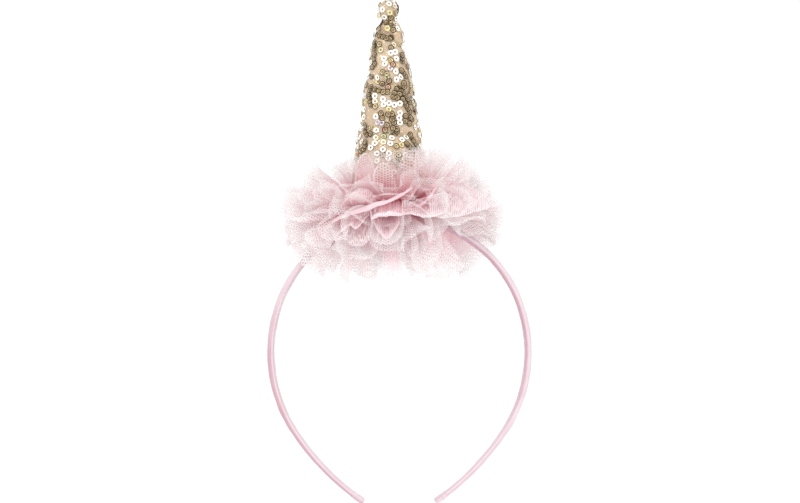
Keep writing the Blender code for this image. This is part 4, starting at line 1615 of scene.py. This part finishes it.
def make_folds(band, horn, finish, veil):
    """The larger folds that stand out at the front."""
    made = []
    for fold in FRONT_FOLDS:
        places, cloth, marks, width = fold_sheet(fold, band, horn)
        mesh = grid_mesh(fold.name, places, False, cloth, marks.items())
        mesh.materials.append(veil if fold.veil else finish)
        made.append((add_object(fold.name, mesh), fold.node, flat_size(mesh, width)))
    return made


# Operators.


class HEADBAND_OT_band(Operator):
    """Make the satin-covered band"""

    bl_idname = "headband.band"
    bl_label = "Satin Band"

    def execute(self, context):
        band = make_band(context.scene.headband_band)
        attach(band, BODY)
        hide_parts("band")
        return {"FINISHED"}


class HEADBAND_OT_tips(Operator):
    """Fold the ribbon over both tips of the band"""

    bl_idname = "headband.tips"
    bl_label = "Folded Tips"

    def execute(self, context):
        settings = context.scene.headband_band
        finish = satin("folded satin", settings)
        for name, side in (("tip_wrap_left", -1), ("tip_wrap_right", 1)):
            tip = make_tip(name + "_ribbon", side, settings)
            tip.data.materials.append(finish)
            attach(tip, BODY)
            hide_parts(name)
        return {"FINISHED"}


class HEADBAND_OT_horn(Operator):
    """Make the wound horn of mesh cloth"""

    bl_idname = "headband.horn"
    bl_label = "Horn Cloth"

    def execute(self, context):
        scene = context.scene
        horn = make_horn(scene.headband_horn, scene.headband_band)
        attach(horn, BODY)
        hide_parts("horn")
        return {"FINISHED"}


class HEADBAND_OT_sequins(Operator):
    """Sew the sequins and their thread to the horn"""

    bl_idname = "headband.sequins"
    bl_label = "Sequins"

    def execute(self, context):
        scene = context.scene
        settings = scene.headband_sequins
        lines = sewn_lines(bpy.data.objects["horn_cloth"], settings, scene.headband_horn, scene.headband_band)
        for piece in (make_sequins(lines, settings), make_sequin_thread(lines, settings)):
            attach(piece, BODY)
        return {"FINISHED"}


class HEADBAND_OT_tulle(Operator):
    """Gather the tulle round the foot of the horn"""

    bl_idname = "headband.tulle"
    bl_label = "Tulle Ruffle"

    def execute(self, context):
        scene = context.scene
        settings = scene.headband_tulle
        finish = tulle("pink tulle", settings)
        for strip, node, flat in make_ruffles(settings, scene.headband_band, scene.headband_horn, finish):
            declare_tulle(strip, node)
        return {"FINISHED"}


class HEADBAND_OT_folds(Operator):
    """Turn out the larger folds at the front of the ruffle"""

    bl_idname = "headband.folds"
    bl_label = "Front Folds"

    def execute(self, context):
        scene = context.scene
        finish = tulle("pink tulle fold", scene.headband_tulle, 0.75, 0.22, 0.56)
        veil = tulle("pink tulle veil", scene.headband_tulle, 1.05, 0.05, 0.85)
        for strip, node, flat in make_folds(scene.headband_band, scene.headband_horn, finish, veil):
            declare_tulle(strip, node)
        return {"FINISHED"}


def declare_tulle(strip, node):
    """Puts a strip of tulle on the object in place of its CAD node."""
    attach(strip, BODY)
    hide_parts(node)


# The stage: the floor's half width, the light from all round, the camera's place across and up, and
# each softbox's name, place, size in metres and power in watts.
FLOOR_REACH = 6.0
SKY_STRENGTH = 1.12
CAMERA_ACROSS = 0.00025
CAMERA_UP = -0.0149
SOFTBOXES = (
    ("key light", (-0.55, -1.1, 1.15), 0.9, 9.0),
    ("fill light", (0.9, -1.0, 0.25), 0.8, 2.5),
)


class HEADBAND_OT_stage(Operator):
    """Set up the floor, the lights and the camera"""

    bl_idname = "headband.stage"
    bl_label = "Stage"

    def execute(self, context):
        scene = context.scene
        settings = scene.headband_stage
        level = CAD_BOX[0][2] - settings.drop
        mesh = bpy.data.meshes.new("floor")
        corners = ((-1, -1), (1, -1), (1, 1), (-1, 1))
        corners = [(x * FLOOR_REACH, y * FLOOR_REACH, level) for x, y in corners]
        mesh.from_pydata(corners, [], [(0, 1, 2, 3)])
        mesh.materials.append(paper_floor("white paper"))
        add_object("floor", mesh)
        world = bpy.data.worlds.new("studio")
        world.use_nodes = True
        sky = world.node_tree.nodes["Background"]
        sky.inputs["Color"].default_value = (1.0, 1.0, 1.0, 1.0)
        sky.inputs["Strength"].default_value = SKY_STRENGTH
        scene.world = world
        for name, place, size, power in SOFTBOXES:
            add_softbox(name, place, size, power)
        camera_data = bpy.data.cameras.new("camera")
        camera_data.lens = settings.lens
        camera_data.sensor_width = 36.0
        camera_data.clip_start = 0.01
        camera = bpy.data.objects.new("camera", camera_data)
        camera.location = (CAMERA_ACROSS, -settings.distance, CAMERA_UP)
        camera.rotation_euler = (math.pi / 2, 0.0, 0.0)
        scene.collection.objects.link(camera)
        scene.camera = camera
        scene.view_settings.view_transform = "Standard"
        scene.cycles.transparent_max_bounces = 96
        return {"FINISHED"}


def add_softbox(name, place, size, power):
    """A square soft light that faces the horn."""
    data = bpy.data.lights.new(name, "AREA")
    data.energy = power
    data.shape = "SQUARE"
    data.size = size
    light = bpy.data.objects.new(name, data)
    light.location = place
    light.rotation_euler = (Vector((0, 0, 0.02)) - Vector(place)).to_track_quat("-Z", "Y").to_euler()
    bpy.context.scene.collection.objects.link(light)


class HEADBAND_PT_pieces(Panel):
    """The pieces of the headband and their sizes"""

    bl_idname = "HEADBAND_PT_pieces"
    bl_label = "Unicorn Horn Headband"
    bl_space_type = "VIEW_3D"
    bl_region_type = "UI"
    bl_category = "Headband"

    def draw(self, context):
        for settings_name, operators in PANEL_ROWS:
            box = self.layout.box()
            settings = getattr(context.scene, settings_name)
            for name in settings.bl_rna.properties.keys():
                if name not in ("rna_type", "name"):
                    box.prop(settings, name)
            for operator in operators:
                box.operator(operator)


PANEL_ROWS = (
    ("headband_stage", ("headband.stage",)),
    ("headband_band", ("headband.band", "headband.tips")),
    ("headband_horn", ("headband.horn",)),
    ("headband_sequins", ("headband.sequins",)),
    ("headband_tulle", ("headband.tulle", "headband.folds")),
)

SETTINGS = {
    "headband_band": BandSettings,
    "headband_horn": HornSettings,
    "headband_sequins": SequinSettings,
    "headband_tulle": TulleSettings,
    "headband_stage": StageSettings,
}

CLASSES = (
    *SETTINGS.values(),
    HEADBAND_OT_stage,
    HEADBAND_OT_band,
    HEADBAND_OT_tips,
    HEADBAND_OT_horn,
    HEADBAND_OT_sequins,
    HEADBAND_OT_tulle,
    HEADBAND_OT_folds,
    HEADBAND_PT_pieces,
)


def register():
    for cls in CLASSES:
        bpy.utils.register_class(cls)
    for name, settings in SETTINGS.items():
        setattr(bpy.types.Scene, name, PointerProperty(type=settings))


def unregister():
    for name in SETTINGS:
        delattr(bpy.types.Scene, name)
    for cls in reversed(CLASSES):
        bpy.utils.unregister_class(cls)


def main():
    register()
    bpy.ops.headband.stage()
    bpy.ops.headband.band()
    bpy.ops.headband.tips()
    bpy.ops.headband.horn()
    bpy.ops.headband.sequins()
    bpy.ops.headband.tulle()
    bpy.ops.headband.folds()


if __name__ == "__main__":
    main()
